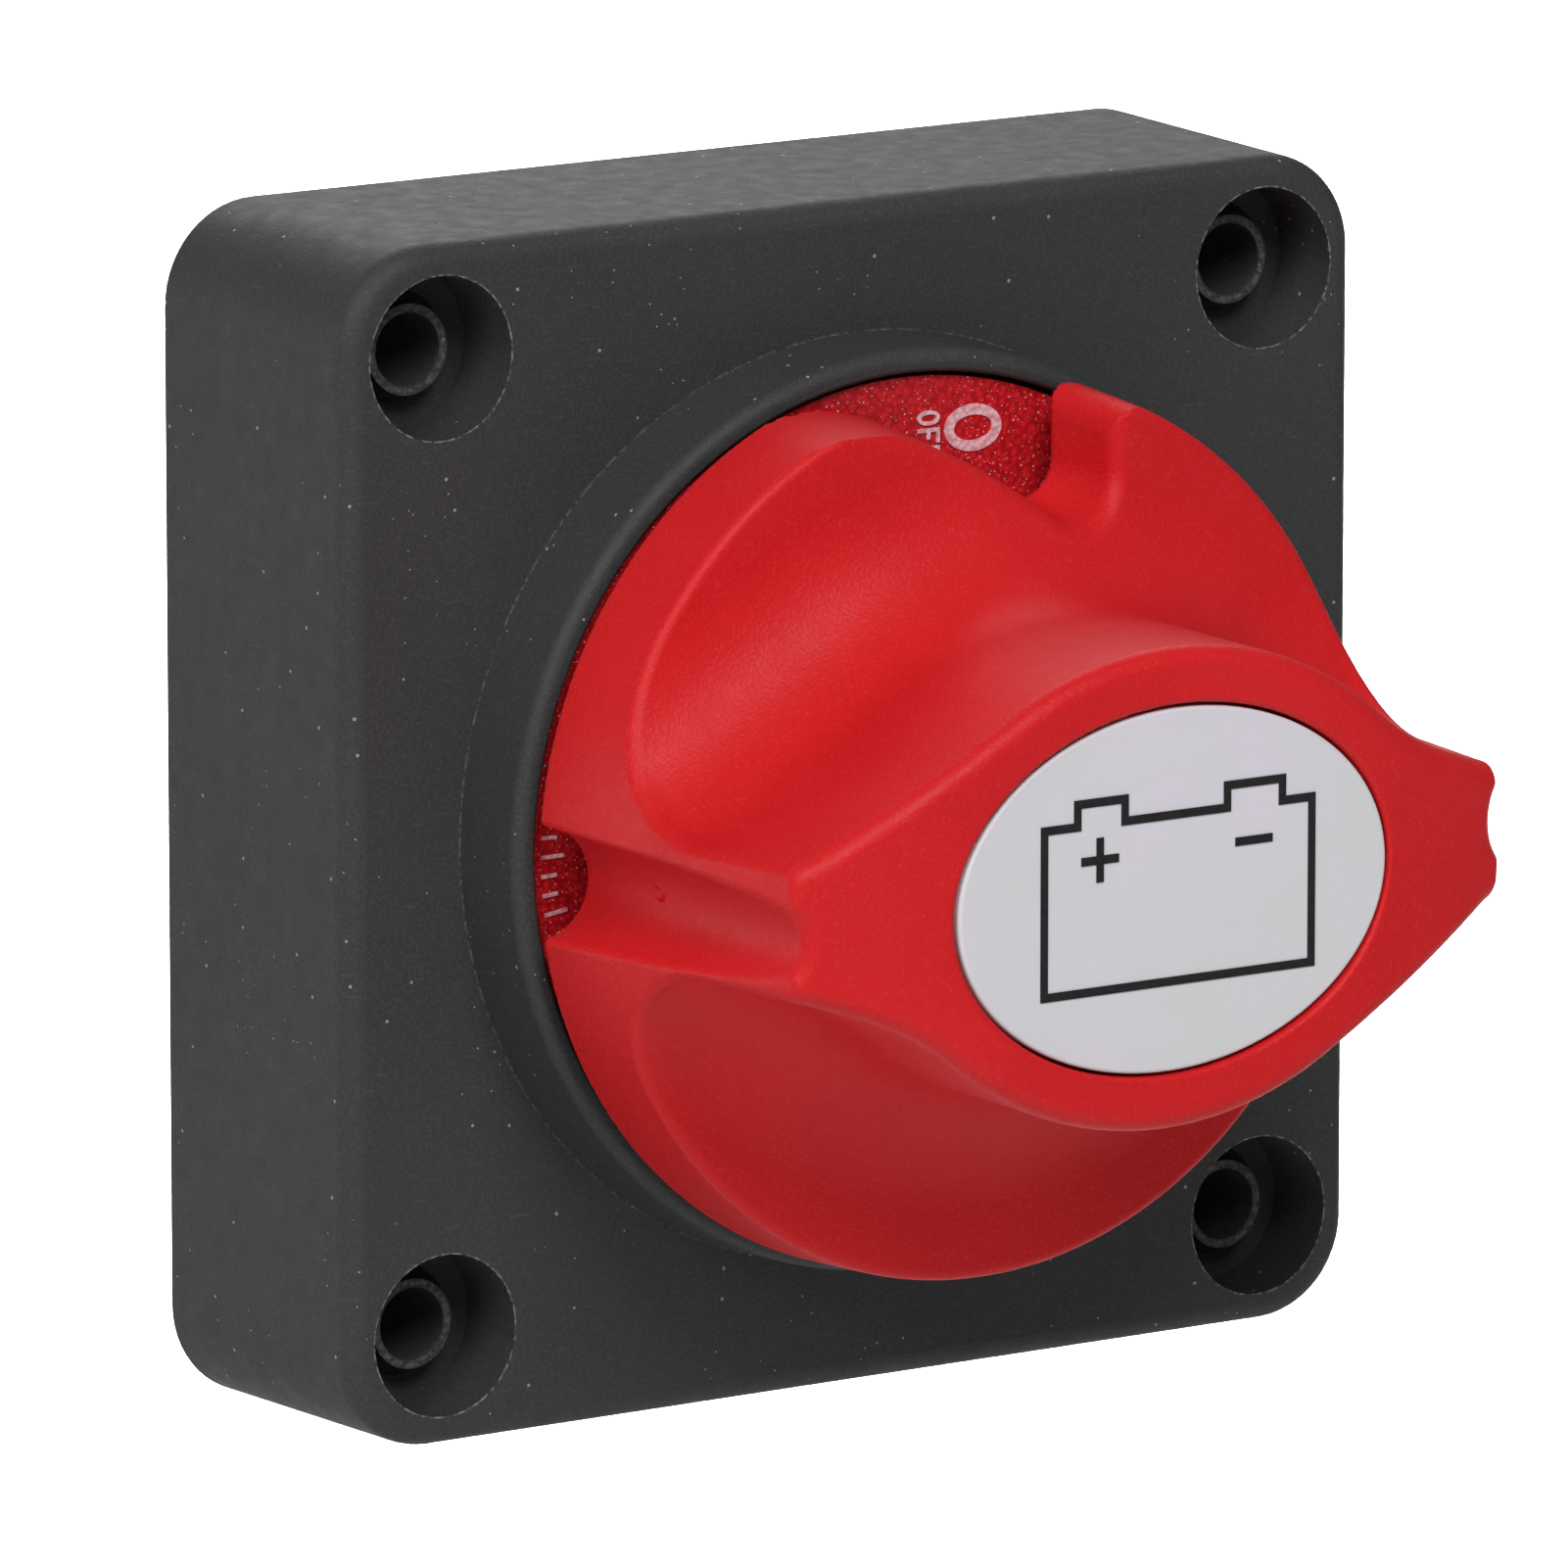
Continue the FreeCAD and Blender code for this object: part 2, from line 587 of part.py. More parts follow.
def crown(low, top):
    """Everything under the flat-topped crown, as a bar along v."""
    reach = 30.0
    apex = FACE + KNOB_TOP
    drop = CROWN_R - math.sqrt(CROWN_R ** 2 - (reach - CROWN_FLAT) ** 2)
    middle = (reach + CROWN_FLAT) / 2
    sag = CROWN_R - math.sqrt(CROWN_R ** 2 - (middle - CROWN_FLAT) ** 2)
    edges = [
        Part.LineSegment(V(-CROWN_FLAT, 0, apex), V(CROWN_FLAT, 0, apex)).toShape(),
        Part.Arc(V(CROWN_FLAT, 0, apex), V(middle, 0, apex - sag), V(reach, 0, apex - drop)).toShape(),
        Part.LineSegment(V(reach, 0, apex - drop), V(reach, 0, low)).toShape(),
        Part.LineSegment(V(reach, 0, low), V(-reach, 0, low)).toShape(),
        Part.LineSegment(V(-reach, 0, low), V(-reach, 0, apex - drop)).toShape(),
        Part.Arc(V(-reach, 0, apex - drop), V(-middle, 0, apex - sag), V(-CROWN_FLAT, 0, apex)).toShape(),
    ]
    bar = Part.Face(Part.Wire(edges)).extrude(V(0, 2 * reach, 0))
    bar.translate(V(0, -reach, 0))
    return bar


def flank(bend, hollow, slope, w):
    """A quarter of the grip's outline, from the bow's middle out to FAR: its edges in order."""
    bend, slope = math.radians(bend), math.radians(slope)

    def around(u, v, radius, angle):
        return V(u + radius * math.sin(angle), v + radius * math.cos(angle), w)
    bow_v = GRIP_HALF - GRIP_ARC
    hand = around(0, bow_v, GRIP_ARC, bend)
    edges = [Part.Arc(V(0, GRIP_HALF, w), around(0, bow_v, GRIP_ARC, bend / 2), hand).toShape()]
    if hollow:
        centre = around(0, bow_v, GRIP_ARC + hollow, bend)
        middle = around(centre.x, centre.y, -hollow, (bend + slope) / 2)
        start = hand
        hand = around(centre.x, centre.y, -hollow, slope)
        edges.append(Part.Arc(start, middle, hand).toShape())
    neck = V(NECK_FROM, hand.y - (NECK_FROM - hand.x) * math.tan(slope), w)
    edges.append(Part.LineSegment(hand, neck).toShape())
    centre = around(neck.x, neck.y, NECK_R, slope)
    level = around(centre.x, centre.y, -NECK_R, 0)
    edges.append(Part.Arc(neck, around(centre.x, centre.y, -NECK_R, slope / 2), level).toShape())
    edges.append(Part.LineSegment(level, V(FAR, level.y, w)).toShape())
    return edges


def grip_wire(w):
    """The grip's outline: the hollow flank upper right and lower left, the full one on the others."""
    right = flank(*HOLLOW_FLANK, w)
    left = [edge.mirror(V(0, 0, 0), V(1, 0, 0)) for edge in flank(*FULL_FLANK, w)]
    upper = right + left
    lower = [spun(edge, 180) for edge in upper]
    right_v = right[-1].BoundBox.YMax
    left_v = left[-1].BoundBox.YMax
    ends = [
        Part.LineSegment(V(FAR, right_v, w), V(FAR, -left_v, w)).toShape(),
        Part.LineSegment(V(-FAR, left_v, w), V(-FAR, -right_v, w)).toShape(),
    ]
    return Part.Wire(Part.sortEdges(upper + lower + ends)[0])


def scooped():
    """A wide plate at the scoops' floor with the grip rising from it through a hollow blend."""
    floor = FACE + FLOOR_H
    plate = block(2 * FAR, 2 * FAR, FACE, floor)
    grip = Part.Face(grip_wire(FACE)).extrude(V(0, 0, FAR))
    shape = plate.fuse(grip).removeSplitter()
    roots = [
        e for e in shape.Edges
        if abs(e.CenterOfMass.z - floor) < 0.01 and abs(e.CenterOfMass.x) < FAR - 0.1
        and abs(e.CenterOfMass.y) < FAR - 0.1
    ]
    return shape.makeFillet(SCOOP_R, roots)


def trough_section(half, deep, w):
    """A closed oval round the knob's rim radius, its points in one fixed order."""
    count = 16
    turns = [2 * math.pi * k / count for k in range(count)]
    oval = [V(KNOB_R + deep * math.cos(t), half * math.sin(t), w) for t in turns]
    curve = Part.BSplineCurve()
    curve.interpolate(Points=oval, PeriodicFlag=True)
    return Part.Wire(curve.toShape())


def trough():
    """The flute at one end of the grip, its floor almost upright."""
    foot = trough_section(*TROUGH_LOW, FACE + KNOB_LOW - 0.5)
    head = trough_section(*TROUGH_HIGH, FACE + KNOB_TOP + 1)
    return Part.makeLoft([foot, head], True, True)


def sight_window():
    """The notch in the skirt: a bowed slanting side, a rounded bottom and an upright right side."""
    low, high = FACE + KNOB_LOW - 1, FACE + FLOOR_H + 7
    left, bow, foot = V(-8.4, 24.4, low), V(-2.0, 21.9, low), V(4.0, 18.3, low)
    bottom, corner, upright = V(5.7, 17.7, low), V(7.7, 18.4, low), V(WINDOW_RIGHT, 20.2, low)
    outside = 28.0
    corners = [upright, V(WINDOW_RIGHT, 23.0, low), V(10.5, outside, low), V(-11.5, outside, low), left]
    edges = [
        Part.Arc(left, bow, foot).toShape(),
        Part.LineSegment(foot, bottom).toShape(),
        Part.Arc(bottom, corner, upright).toShape(),
    ]
    edges += [Part.LineSegment(start, end).toShape() for start, end in zip(corners, corners[1:])]
    return Part.Face(Part.Wire(edges)).extrude(V(0, 0, high - low))


def grip_shell():
    """The knob's outside with its moulding hollow and label seat, the grip along u."""
    above = FACE + KNOB_TOP + 10
    body = knob_body().common(scooped())
    for side in (0, 180):
        body = body.cut(spun(trough(), side))
    hollow = cyl(HOLLOW_R, FACE + KNOB_LOW - 1, FACE + HOLLOW_H)
    hollow = hollow.fuse(ellipse_prism(*GRIP_HOLLOW, FACE + KNOB_LOW, FACE + GRIP_HOLLOW_ROOF))
    body = body.cut(hollow.cut(cyl(KNOB_BOSS_R, 0, above)))
    a, b = LABEL_HALF
    seat = FACE + LABEL_TOP - LABEL_THICK
    return body.cut(ellipse_prism(a + LABEL_GAP, b + LABEL_GAP, seat, above))


def knob():
    above = FACE + KNOB_TOP + 10
    body = spun(grip_shell(), KNOB_SET).cut(sight_window())
    half = DRIVE_SQUARE / 2 + SOCKET_GAP
    socket = block(2 * half, 2 * half, FACE, SOCKET_ROOF)
    body = body.cut(socket.common(cyl(DRIVE_ROUND_R + SOCKET_GAP, FACE, SOCKET_ROOF)))
    body = body.cut(cyl(SHAFT_R + 0.3, FACE, FACE + KNOB_LOW + 0.4))
    body = body.cut(cyl(SCREW_CLEAR_R, SOCKET_ROOF - 1, SCREW_SEAT + 1))
    return body.cut(cyl(SCREW_POCKET_R, SCREW_SEAT, above)).removeSplitter()


def knob_screw():
    seat = SCREW_SEAT + KNOB_WASHER
    head = cyl(SCREW_HEAD_R, seat, seat + SCREW_HEAD)
    head = head.makeFillet(1.2, [e for e in head.Edges if e.BoundBox.ZMin > seat + SCREW_HEAD - 0.01])
    screw = head.fuse(cyl(SCREW_R, KNOB_SCREW_END, seat)).removeSplitter()
    return screw.cut(cross_recess(0, 0, seat + 1.0, seat + 5, 4.4, 1.1))


def knob_label():
    top = FACE + LABEL_TOP
    plate = ellipse_prism(*LABEL_HALF, top - LABEL_THICK, top)
    plate = plate.makeFillet(LABEL_EDGE, [e for e in plate.Edges if e.BoundBox.ZMin > top - 0.01])
    return spun(plate, KNOB_SET)


def label_icon():
    """The battery sign printed on the label: an outline with two posts, a plus and a minus."""
    low = FACE + LABEL_TOP
    high = low + INK
    line = ICON_LINE
    left, right, base, lid = -8.7, 9.2, -5.1, 4.25
    posts = [(-6.5, -3.35, 5.5), (3.5, 7.2, 5.5)]

    def outline(grow):
        points = [(left - grow, base - grow), (left - grow, lid + grow)]
        for start, end, top in posts:
            points += [(start - grow, lid + grow), (start - grow, top + grow)]
            points += [(end + grow, top + grow), (end + grow, lid + grow)]
        return points + [(right + grow, lid + grow), (right + grow, base - grow)]
    frame = prism(outline(line / 2), low, high).cut(prism(outline(-line / 2), low - 1, high + 1))
    plus_u, minus_u, sign_v, arm = -5.0, 5.3, 2.25, 2.5
    plus = block(arm, line, low, high, plus_u, sign_v).fuse(block(line, arm, low, high, plus_u, sign_v))
    minus = block(arm, line, low, high, minus_u, sign_v)
    return [frame, plus.removeSplitter(), minus]


def main():
    os.makedirs("parts", exist_ok=True)
    save("housing", housing())
    save("contact_base", contact_base())
    save("base_gasket", base_gasket())
    save("base_screws", *[base_screw(u, v) for u, v in base_screw_centres()])
    upper, lower = stud_centres()
    save("terminal_stud_upper", terminal_stud(*upper))
    save("terminal_stud_lower", terminal_stud(*lower))
    w = 0.0
    stack = [("stud_jam_nuts", JAM_NUT, nut), ("terminal_washers", WASHER, flat_washer),
             ("terminal_spring_washers", SPRING_WASHER, spring_washer), ("terminal_nuts", TERMINAL_NUT, nut)]
    for name, thick, maker in stack:
        save(name, *[maker(u, v, w - thick, w) for u, v in stud_centres()])
        w -= thick
    save("detent_ring", detent_ring())
    save("thrust_washer", tube(SHAFT_R + 0.2, THRUST_WASHER_R, ROTOR_HIGH, CHAMBER_ROOF - 0.05))
    save("rotor", rotor())
    save("spindle_o_ring", o_ring())
    save("contact_bridge", contact_bridge())
    bridge_top = CONTACT_FACE + BRIDGE_GAP + BRIDGE[2]
    save("contact_spring", coil(CONTACT_SPRING_R, CONTACT_WIRE_R, bridge_top, SPRING_POCKET_ROOF, 3.5))
    for name, side in (("left", -1), ("right", 1)):
        save("detent_plunger_" + name, detent_plunger(side))
        save("detent_spring_" + name, detent_spring(side))
    save("dial_disc", dial_disc())
    save("dial_numerals", *dial_numerals())
    save("dial_ticks", *dial_ticks())
    save("knob", knob())
    save("knob_screw_washer", tube(SCREW_R + 0.1, KNOB_WASHER_R, SCREW_SEAT, SCREW_SEAT + KNOB_WASHER))
    save("knob_screw", knob_screw())
    save("knob_label", knob_label())
    save("label_icon", *label_icon())


main()
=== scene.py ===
import json
import math

import bmesh
import bpy
import numpy as np
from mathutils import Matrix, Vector


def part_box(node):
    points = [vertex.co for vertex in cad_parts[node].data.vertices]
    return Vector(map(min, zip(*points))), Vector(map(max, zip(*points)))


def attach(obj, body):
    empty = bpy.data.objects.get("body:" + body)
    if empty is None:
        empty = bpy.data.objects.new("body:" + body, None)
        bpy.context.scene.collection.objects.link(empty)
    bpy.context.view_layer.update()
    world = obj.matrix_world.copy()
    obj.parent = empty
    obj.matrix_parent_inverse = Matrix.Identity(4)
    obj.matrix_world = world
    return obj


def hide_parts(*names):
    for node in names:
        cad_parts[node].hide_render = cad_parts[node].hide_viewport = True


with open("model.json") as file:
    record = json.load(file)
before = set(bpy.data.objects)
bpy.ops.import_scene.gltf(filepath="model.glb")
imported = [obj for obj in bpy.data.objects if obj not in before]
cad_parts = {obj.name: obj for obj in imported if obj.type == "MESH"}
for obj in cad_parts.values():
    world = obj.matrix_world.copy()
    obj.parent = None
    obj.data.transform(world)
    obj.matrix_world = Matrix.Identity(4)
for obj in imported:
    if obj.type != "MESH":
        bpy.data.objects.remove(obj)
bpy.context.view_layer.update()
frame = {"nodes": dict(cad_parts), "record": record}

# Looks of a rotary battery switch. Blender lengths are metres; shapes are worked out in millimetres,
# in the face-on frame of the switch: u to the right, v up, h out of the front face towards the hand.

MM = 0.001
NODES = frame["nodes"]


def node_mm(name):
    """Lowest and highest corner of a CAD node, in millimetres."""
    low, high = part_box(name)
    return low / MM, high / MM


# ---------------------------------------------------------------- sizes taken from the frame
KNOB_LOW_CORNER, KNOB_HIGH_CORNER = node_mm("knob")
LABEL_REAR = node_mm("knob_label")[1].y
CASE_LOW = node_mm("housing")[0].z
KNOB_LOW = 6.7               # height of the knob's rim above the front face
FACE = -KNOB_HIGH_CORNER.y - KNOB_LOW      # the front face's height above the panel
KNOB_TOP = -KNOB_LOW_CORNER.y - FACE       # heights over the front face, from here on
LABEL_SEAT = -LABEL_REAR - FACE            # floor of the label's recess

# ---------------------------------------------------------------- marks on the case, millimetres
HOLE_PITCH = 55.6
HOLE_CENTRES = [(u * HOLE_PITCH / 2, v * HOLE_PITCH / 2) for u in (-1, 1) for v in (-1, 1)]
WELL_R, WELL_HIGHLIGHT = 4.65, 0.11             # counterbore round each mounting hole, and width of the painted highlight along its edge
TUBE_R, TUBE_TOP, TUBE_HIGHLIGHT = 2.35, -3.55, 0.32      # the tube in each: middle of its rim, its top, and width of the painted highlight on its rim
COLLAR_R, COLLAR_HIGHLIGHT = 26.7, 0.12         # where the collar meets the front face, and width of the painted highlight along that crease

# ---------------------------------------------------------------- shape of the knob, millimetres
KNOB_SET = 2.0               # degrees: grip, flutes and label stand this far anticlockwise of level
RIM_R = 25.9                 # radius at the lower edge
MID_R, MID_H = 25.5, 13.0    # the outer wall's arc passes here
TIP_R, TIP_H = 23.8, 28.9    # and here, at the tips of the grip
CROWN_FLAT = 10.0            # half length of the top's level middle
CROWN_R = 40.0               # arc of its fall to the tips
CROWN_REACH = 36.0           # the arc isn't followed beyond this
FLOOR_H = 12.9               # floor of the finger scoops
SCOOP_R = 8.0                # blend from that floor up the grip
GRIP_HALF = 13.55            # the grip's half width in the middle
GRIP_ARC = 21.5              # radius of the bow of its flanks
# Flanks of the grip: where the bow ends in degrees, the hollow's radius, the straight's slope in
# degrees. The two kinds alternate round the grip.
FULL_FLANK = (27.7, 0.0, 27.7)
HOLLOW_FLANK = (42.0, 17.6, 22.0)
NECK_FROM = 22.0             # both straights bend level from here
NECK_R = 6.0
FLUTE_LOW = (3.2, 3.2)       # trough down each end of the grip, at its foot: half width, depth
FLUTE_HIGH = (2.9, 2.8)      # and at its head
WINDOW_LEFT = (-8.25, 24.0)  # the window's slanting side, in plan, passes through these three
WINDOW_BOW = (-2.2, 21.7)
WINDOW_FOOT = (3.4, 18.4)
WINDOW_RIGHT = 8.7           # its upright side
WINDOW_CORNER = 2.7          # radius of the corner between them
WINDOW_DRAFT = 0.1           # its sides lean in by this much for each millimetre down
WINDOW_LOW = 14.0            # nothing is cut nearer to the middle than this
LABEL_HALF = (14.3, 10.2)    # the oval label
LABEL_GAP = 0.2              # between it and its recess
BOSS_R = 8.2                 # boss round the spindle
HOLLOW_R, HOLLOW_H = 15.0, 10.2            # hollow in the skirt: radius, roof
GRIP_HOLLOW, GRIP_ROOF = (16.5, 9.8), 25.7      # hollow in the grip: half sizes, roof
SOCKET_HALF, SOCKET_R, SOCKET_ROOF = 4.3, 5.7, 19.6
SCREW_HOLE_R, SCREW_HOLE_FROM = 2.7, 18.6
SCREW_POCKET_R, SCREW_SEAT = 5.4, 22.5
TOP_EDGE = 1.1               # rounding round the top of the grip
SIDE_EDGE = 0.55             # rounding of the crease between scoop and outer wall
WINDOW_EDGE = 0.9            # rounding of the window's upper edge
WINDOW_LOBE = 2.3            # and where its sides meet the outer wall
FLUTE_EDGE = 0.35            # rounding of the trough's edges
FLUTE_HEAD = 0.9             # and where it runs out over the top
LABEL_EDGE = 0.35            # rounding of the recess's mouth
RIM_EDGE = 0.35              # and of the knob's lower rim
GATE = (-22.8, 0.3, 14.7)    # stub of the moulding gate in the left trough
GATE_R, GATE_FOOT = 0.45, 0.1
RIM_HIGHLIGHT = 0.2               # width of the painted highlight line on the lower rim
CELL = 0.25                  # spacing of the sampling grid
SLOPE_STEP = 0.02            # reach of the differences that give the field's slope
SETTLING_STEPS = 3           # moves that settle the mesh on the surface
SETTLING_REACH = 0.4         # longest of them, in cells
LEAST_SLOPE = 0.25           # squared slope that a move is divided by, at least

# ---------------------------------------------------------------- shape of the studs, millimetres
THREAD_PITCH = 1.5
THREAD_DEPTH = 0.85
THREAD_CREST, THREAD_ROOT = 0.12, 0.16     # shares of the pitch that are flat
THREAD_ROUND = 72            # faces round the stud
THREAD_STEPS = 12            # points along one pitch
STUD_R = 5.0
STUD_CHAMFER = 1.0
STUD_HEAD = 3.5              # thickness of the head
STUD_HEAD_R = 6.5
STUD_HEAD_FLAT = 5.2         # half width over its two flats
STUD_HEAD_EDGE = 0.3
STUD_HEAD_STEPS = 24         # faces round each of its two arcs
SHANK_TOP = 4.5              # the head starts here, above the panel
STUD_CREASE = 35             # degrees: edges sharper than this stay sharp
WELD = 0.002                 # points nearer than this become one


# ---------------------------------------------------------------- blending of distance fields
def union_round(a, b, r):
    """Solid a with solid b, with a hollow blend of radius r where they meet."""
    return np.maximum(r, np.minimum(a, b)) - np.hypot(np.maximum(r - a, 0), np.maximum(r - b, 0))


def common_round(a, b, r):
    """What a and b share, with its edge rounded to radius r."""
    return np.minimum(-r, np.maximum(a, b)) + np.hypot(np.maximum(r + a, 0), np.maximum(r + b, 0))


def circle_through(p, q, s):
    """Centre and radius of the circle through three points."""
    (ax, ay), (bx, by), (cx, cy) = p, q, s
    d = 2 * (ax * (by - cy) + bx * (cy - ay) + cx * (ay - by))
    a2, b2, c2 = ax * ax + ay * ay, bx * bx + by * by, cx * cx + cy * cy
    x = (a2 * (by - cy) + b2 * (cy - ay) + c2 * (ay - by)) / d
    y = (a2 * (cx - bx) + b2 * (ax - cx) + c2 * (bx - ax)) / d
    return x, y, math.hypot(ax - x, ay - y)


def oval_distance(u, v, half_u, half_v):
    """Near its outline, the signed distance to an oval."""
    across = np.maximum(np.hypot(u / half_u, v / half_v), 1e-6)
    slope = np.hypot(u / half_u ** 2, v / half_v ** 2) / across
    return (across - 1) / np.maximum(slope, 1e-3)


def turned(u, v, degrees):
    """The same points, seen from axes turned anticlockwise."""
    sine, cosine = math.sin(math.radians(degrees)), math.cos(math.radians(degrees))
    return u * cosine + v * sine, v * cosine - u * sine


# ---------------------------------------------------------------- the knob as a distance field
def flank_distance(u, v, bend, hollow, slope):
    """Signed distance to a quarter of the grip's outline: bow, hollow, straight and level neck."""
    s, c = math.sin(math.radians(bend)), math.cos(math.radians(bend))
    t, k = math.sin(math.radians(slope)), math.cos(math.radians(slope))
    bow_v = GRIP_HALF - GRIP_ARC
    dip_u, dip_v = (GRIP_ARC + hollow) * s, bow_v + (GRIP_ARC + hollow) * c
    start_u, start_v = dip_u - hollow * t, dip_v - hollow * k
    neck_v = start_v - (NECK_FROM - start_u) * t / k
    end_u, end_v = NECK_FROM + NECK_R * t, neck_v + NECK_R * k
    past_bow = u * c > (v - bow_v) * s
    past_dip = past_bow & ((u - start_u) * k > (v - start_v) * t)
    past_straight = past_dip & ((u - NECK_FROM) * k > (v - neck_v) * t)
    distance = np.hypot(u, v - bow_v) - GRIP_ARC
    distance = np.where(past_bow, hollow - np.hypot(u - dip_u, v - dip_v), distance)
    distance = np.where(past_dip, (u - start_u) * t + (v - start_v) * k, distance)
    distance = np.where(past_straight, NECK_R - np.hypot(u - end_u, v - end_v), distance)
    return np.where(past_straight & (u > end_u), v - end_v + NECK_R, distance)


def grip_distance(u, v):
    """The grip's outline: hollow flanks upper right and lower left, full ones on the others."""
    full = flank_distance(np.abs(u), np.abs(v), *FULL_FLANK)
    hollow = flank_distance(np.abs(u), np.abs(v), *HOLLOW_FLANK)
    return np.where(u * v > 0, hollow, full)


def wall_distance(u, v, h):
    """Signed distance to the drafted, bowed outer wall."""
    r0, h0, r = circle_through((RIM_R, KNOB_LOW), (MID_R, MID_H), (TIP_R, TIP_H))
    return np.hypot(np.hypot(u, v) - r0, h - h0) - r


def crown_distance(u, h):
    """Height over the top, which is flat in the middle and falls away to both tips."""
    beyond = np.clip(np.abs(u) - CROWN_FLAT, 0, CROWN_REACH)
    return h - KNOB_TOP + CROWN_R - np.sqrt(CROWN_R ** 2 - beyond ** 2)


def flute_distance(u, v, h):
    """The trough at both ends of the grip: an oval at the rim's radius, smaller at its head."""
    share = (h - KNOB_LOW) / (KNOB_TOP - KNOB_LOW)
    half, deep = (low + (high - low) * share for low, high in zip(FLUTE_LOW, FLUTE_HIGH))
    return oval_distance(np.abs(u) - RIM_R, v, deep, half)


def window_distance(u, v, h):
    """The sight window: past its bowed side, left of its upright side, round in the corner."""
    x, y, r = circle_through(WINDOW_LEFT, WINDOW_BOW, WINDOW_FOOT)
    sides = np.maximum(r - np.hypot(u - x, v - y), u - WINDOW_RIGHT)
    corner_u = WINDOW_RIGHT - WINDOW_CORNER
    corner_v = y + math.sqrt((r + WINDOW_CORNER) ** 2 - (corner_u - x) ** 2)
    beyond = (u - corner_u) * (corner_v - y) > (v - corner_v) * (corner_u - x)
    corner = np.hypot(u - corner_u, v - corner_v) - WINDOW_CORNER
    plan = np.where(beyond & (v < corner_v), corner, sides)
    return np.maximum(plan + WINDOW_DRAFT * (FLOOR_H - h), WINDOW_LOW - v)


def moulding_hollow(u, v, h):
    """The hollow under the knob, with the boss round the spindle left standing in it."""
    out = np.hypot(u, v)
    skirt = np.maximum(out - HOLLOW_R, h - HOLLOW_H)
    inside = np.maximum(oval_distance(u, v, *GRIP_HOLLOW), h - GRIP_ROOF)
    return np.maximum(np.minimum(skirt, inside), BOSS_R - out)


def centre_holes(u, v, h):
    """Socket for the spindle, pocket for the screw's head, and a hole that runs into both."""
    out = np.hypot(u, v)
    square = np.maximum(np.maximum(np.abs(u), np.abs(v)) - SOCKET_HALF, out - SOCKET_R)
    socket = np.maximum(square, h - SOCKET_ROOF)
    pocket = np.maximum(out - SCREW_POCKET_R, SCREW_SEAT - h)
    hole = np.maximum(out - SCREW_HOLE_R, SCREW_HOLE_FROM - h)
    return np.minimum(np.minimum(socket, pocket), hole)


def label_recess(u, v, h):
    """The oval seat of the label in the top."""
    half_u, half_v = (half + LABEL_GAP for half in LABEL_HALF)
    return np.maximum(oval_distance(u, v, half_u, half_v), LABEL_SEAT - h)


def gate_distance(u, v, h):
    """The small ball that is left where the moulding gate was cut."""
    return np.sqrt((u - GATE[0]) ** 2 + (v - GATE[1]) ** 2 + (h - GATE[2]) ** 2) - GATE_R


def knob_field(u, v, h):
    """The whole knob. Grip, trough, label and hollow turn with KNOB_SET; wall and window do not."""
    along, across = turned(u, v, KNOB_SET)
    wall = wall_distance(u, v, h)
    crown = crown_distance(along, h)
    flute = flute_distance(along, across, h)
    window = window_distance(u, v, h)
    body = union_round(h - FLOOR_H, grip_distance(along, across), SCOOP_R)
    body = common_round(body, crown, TOP_EDGE)
    body = common_round(body, wall, SIDE_EDGE)
    body = common_round(body, KNOB_LOW - h, RIM_EDGE)
    body = common_round(body, -flute, FLUTE_EDGE)
    body = np.maximum(body, common_round(crown, -flute, FLUTE_HEAD))
    body = union_round(body, gate_distance(along, across, h), GATE_FOOT)
    body = common_round(body, -window, WINDOW_EDGE)
    body = np.maximum(body, common_round(wall, -window, WINDOW_LOBE))
    body = common_round(body, -label_recess(along, across, h), LABEL_EDGE)
    body = np.maximum(body, -moulding_hollow(along, across, h))
    return np.maximum(body, -centre_holes(u, v, h))


# ---------------------------------------------------------------- from a field to a mesh
def gradient(field, p):
    """The field's slope at the points p."""
    slope = np.empty_like(p)
    for axis in range(3):
        shift = np.zeros(3)
        shift[axis] = SLOPE_STEP
        ahead, behind = p + shift, p - shift
        slope[:, axis] = (field(*ahead.T) - field(*behind.T)) / (2 * SLOPE_STEP)
    return slope


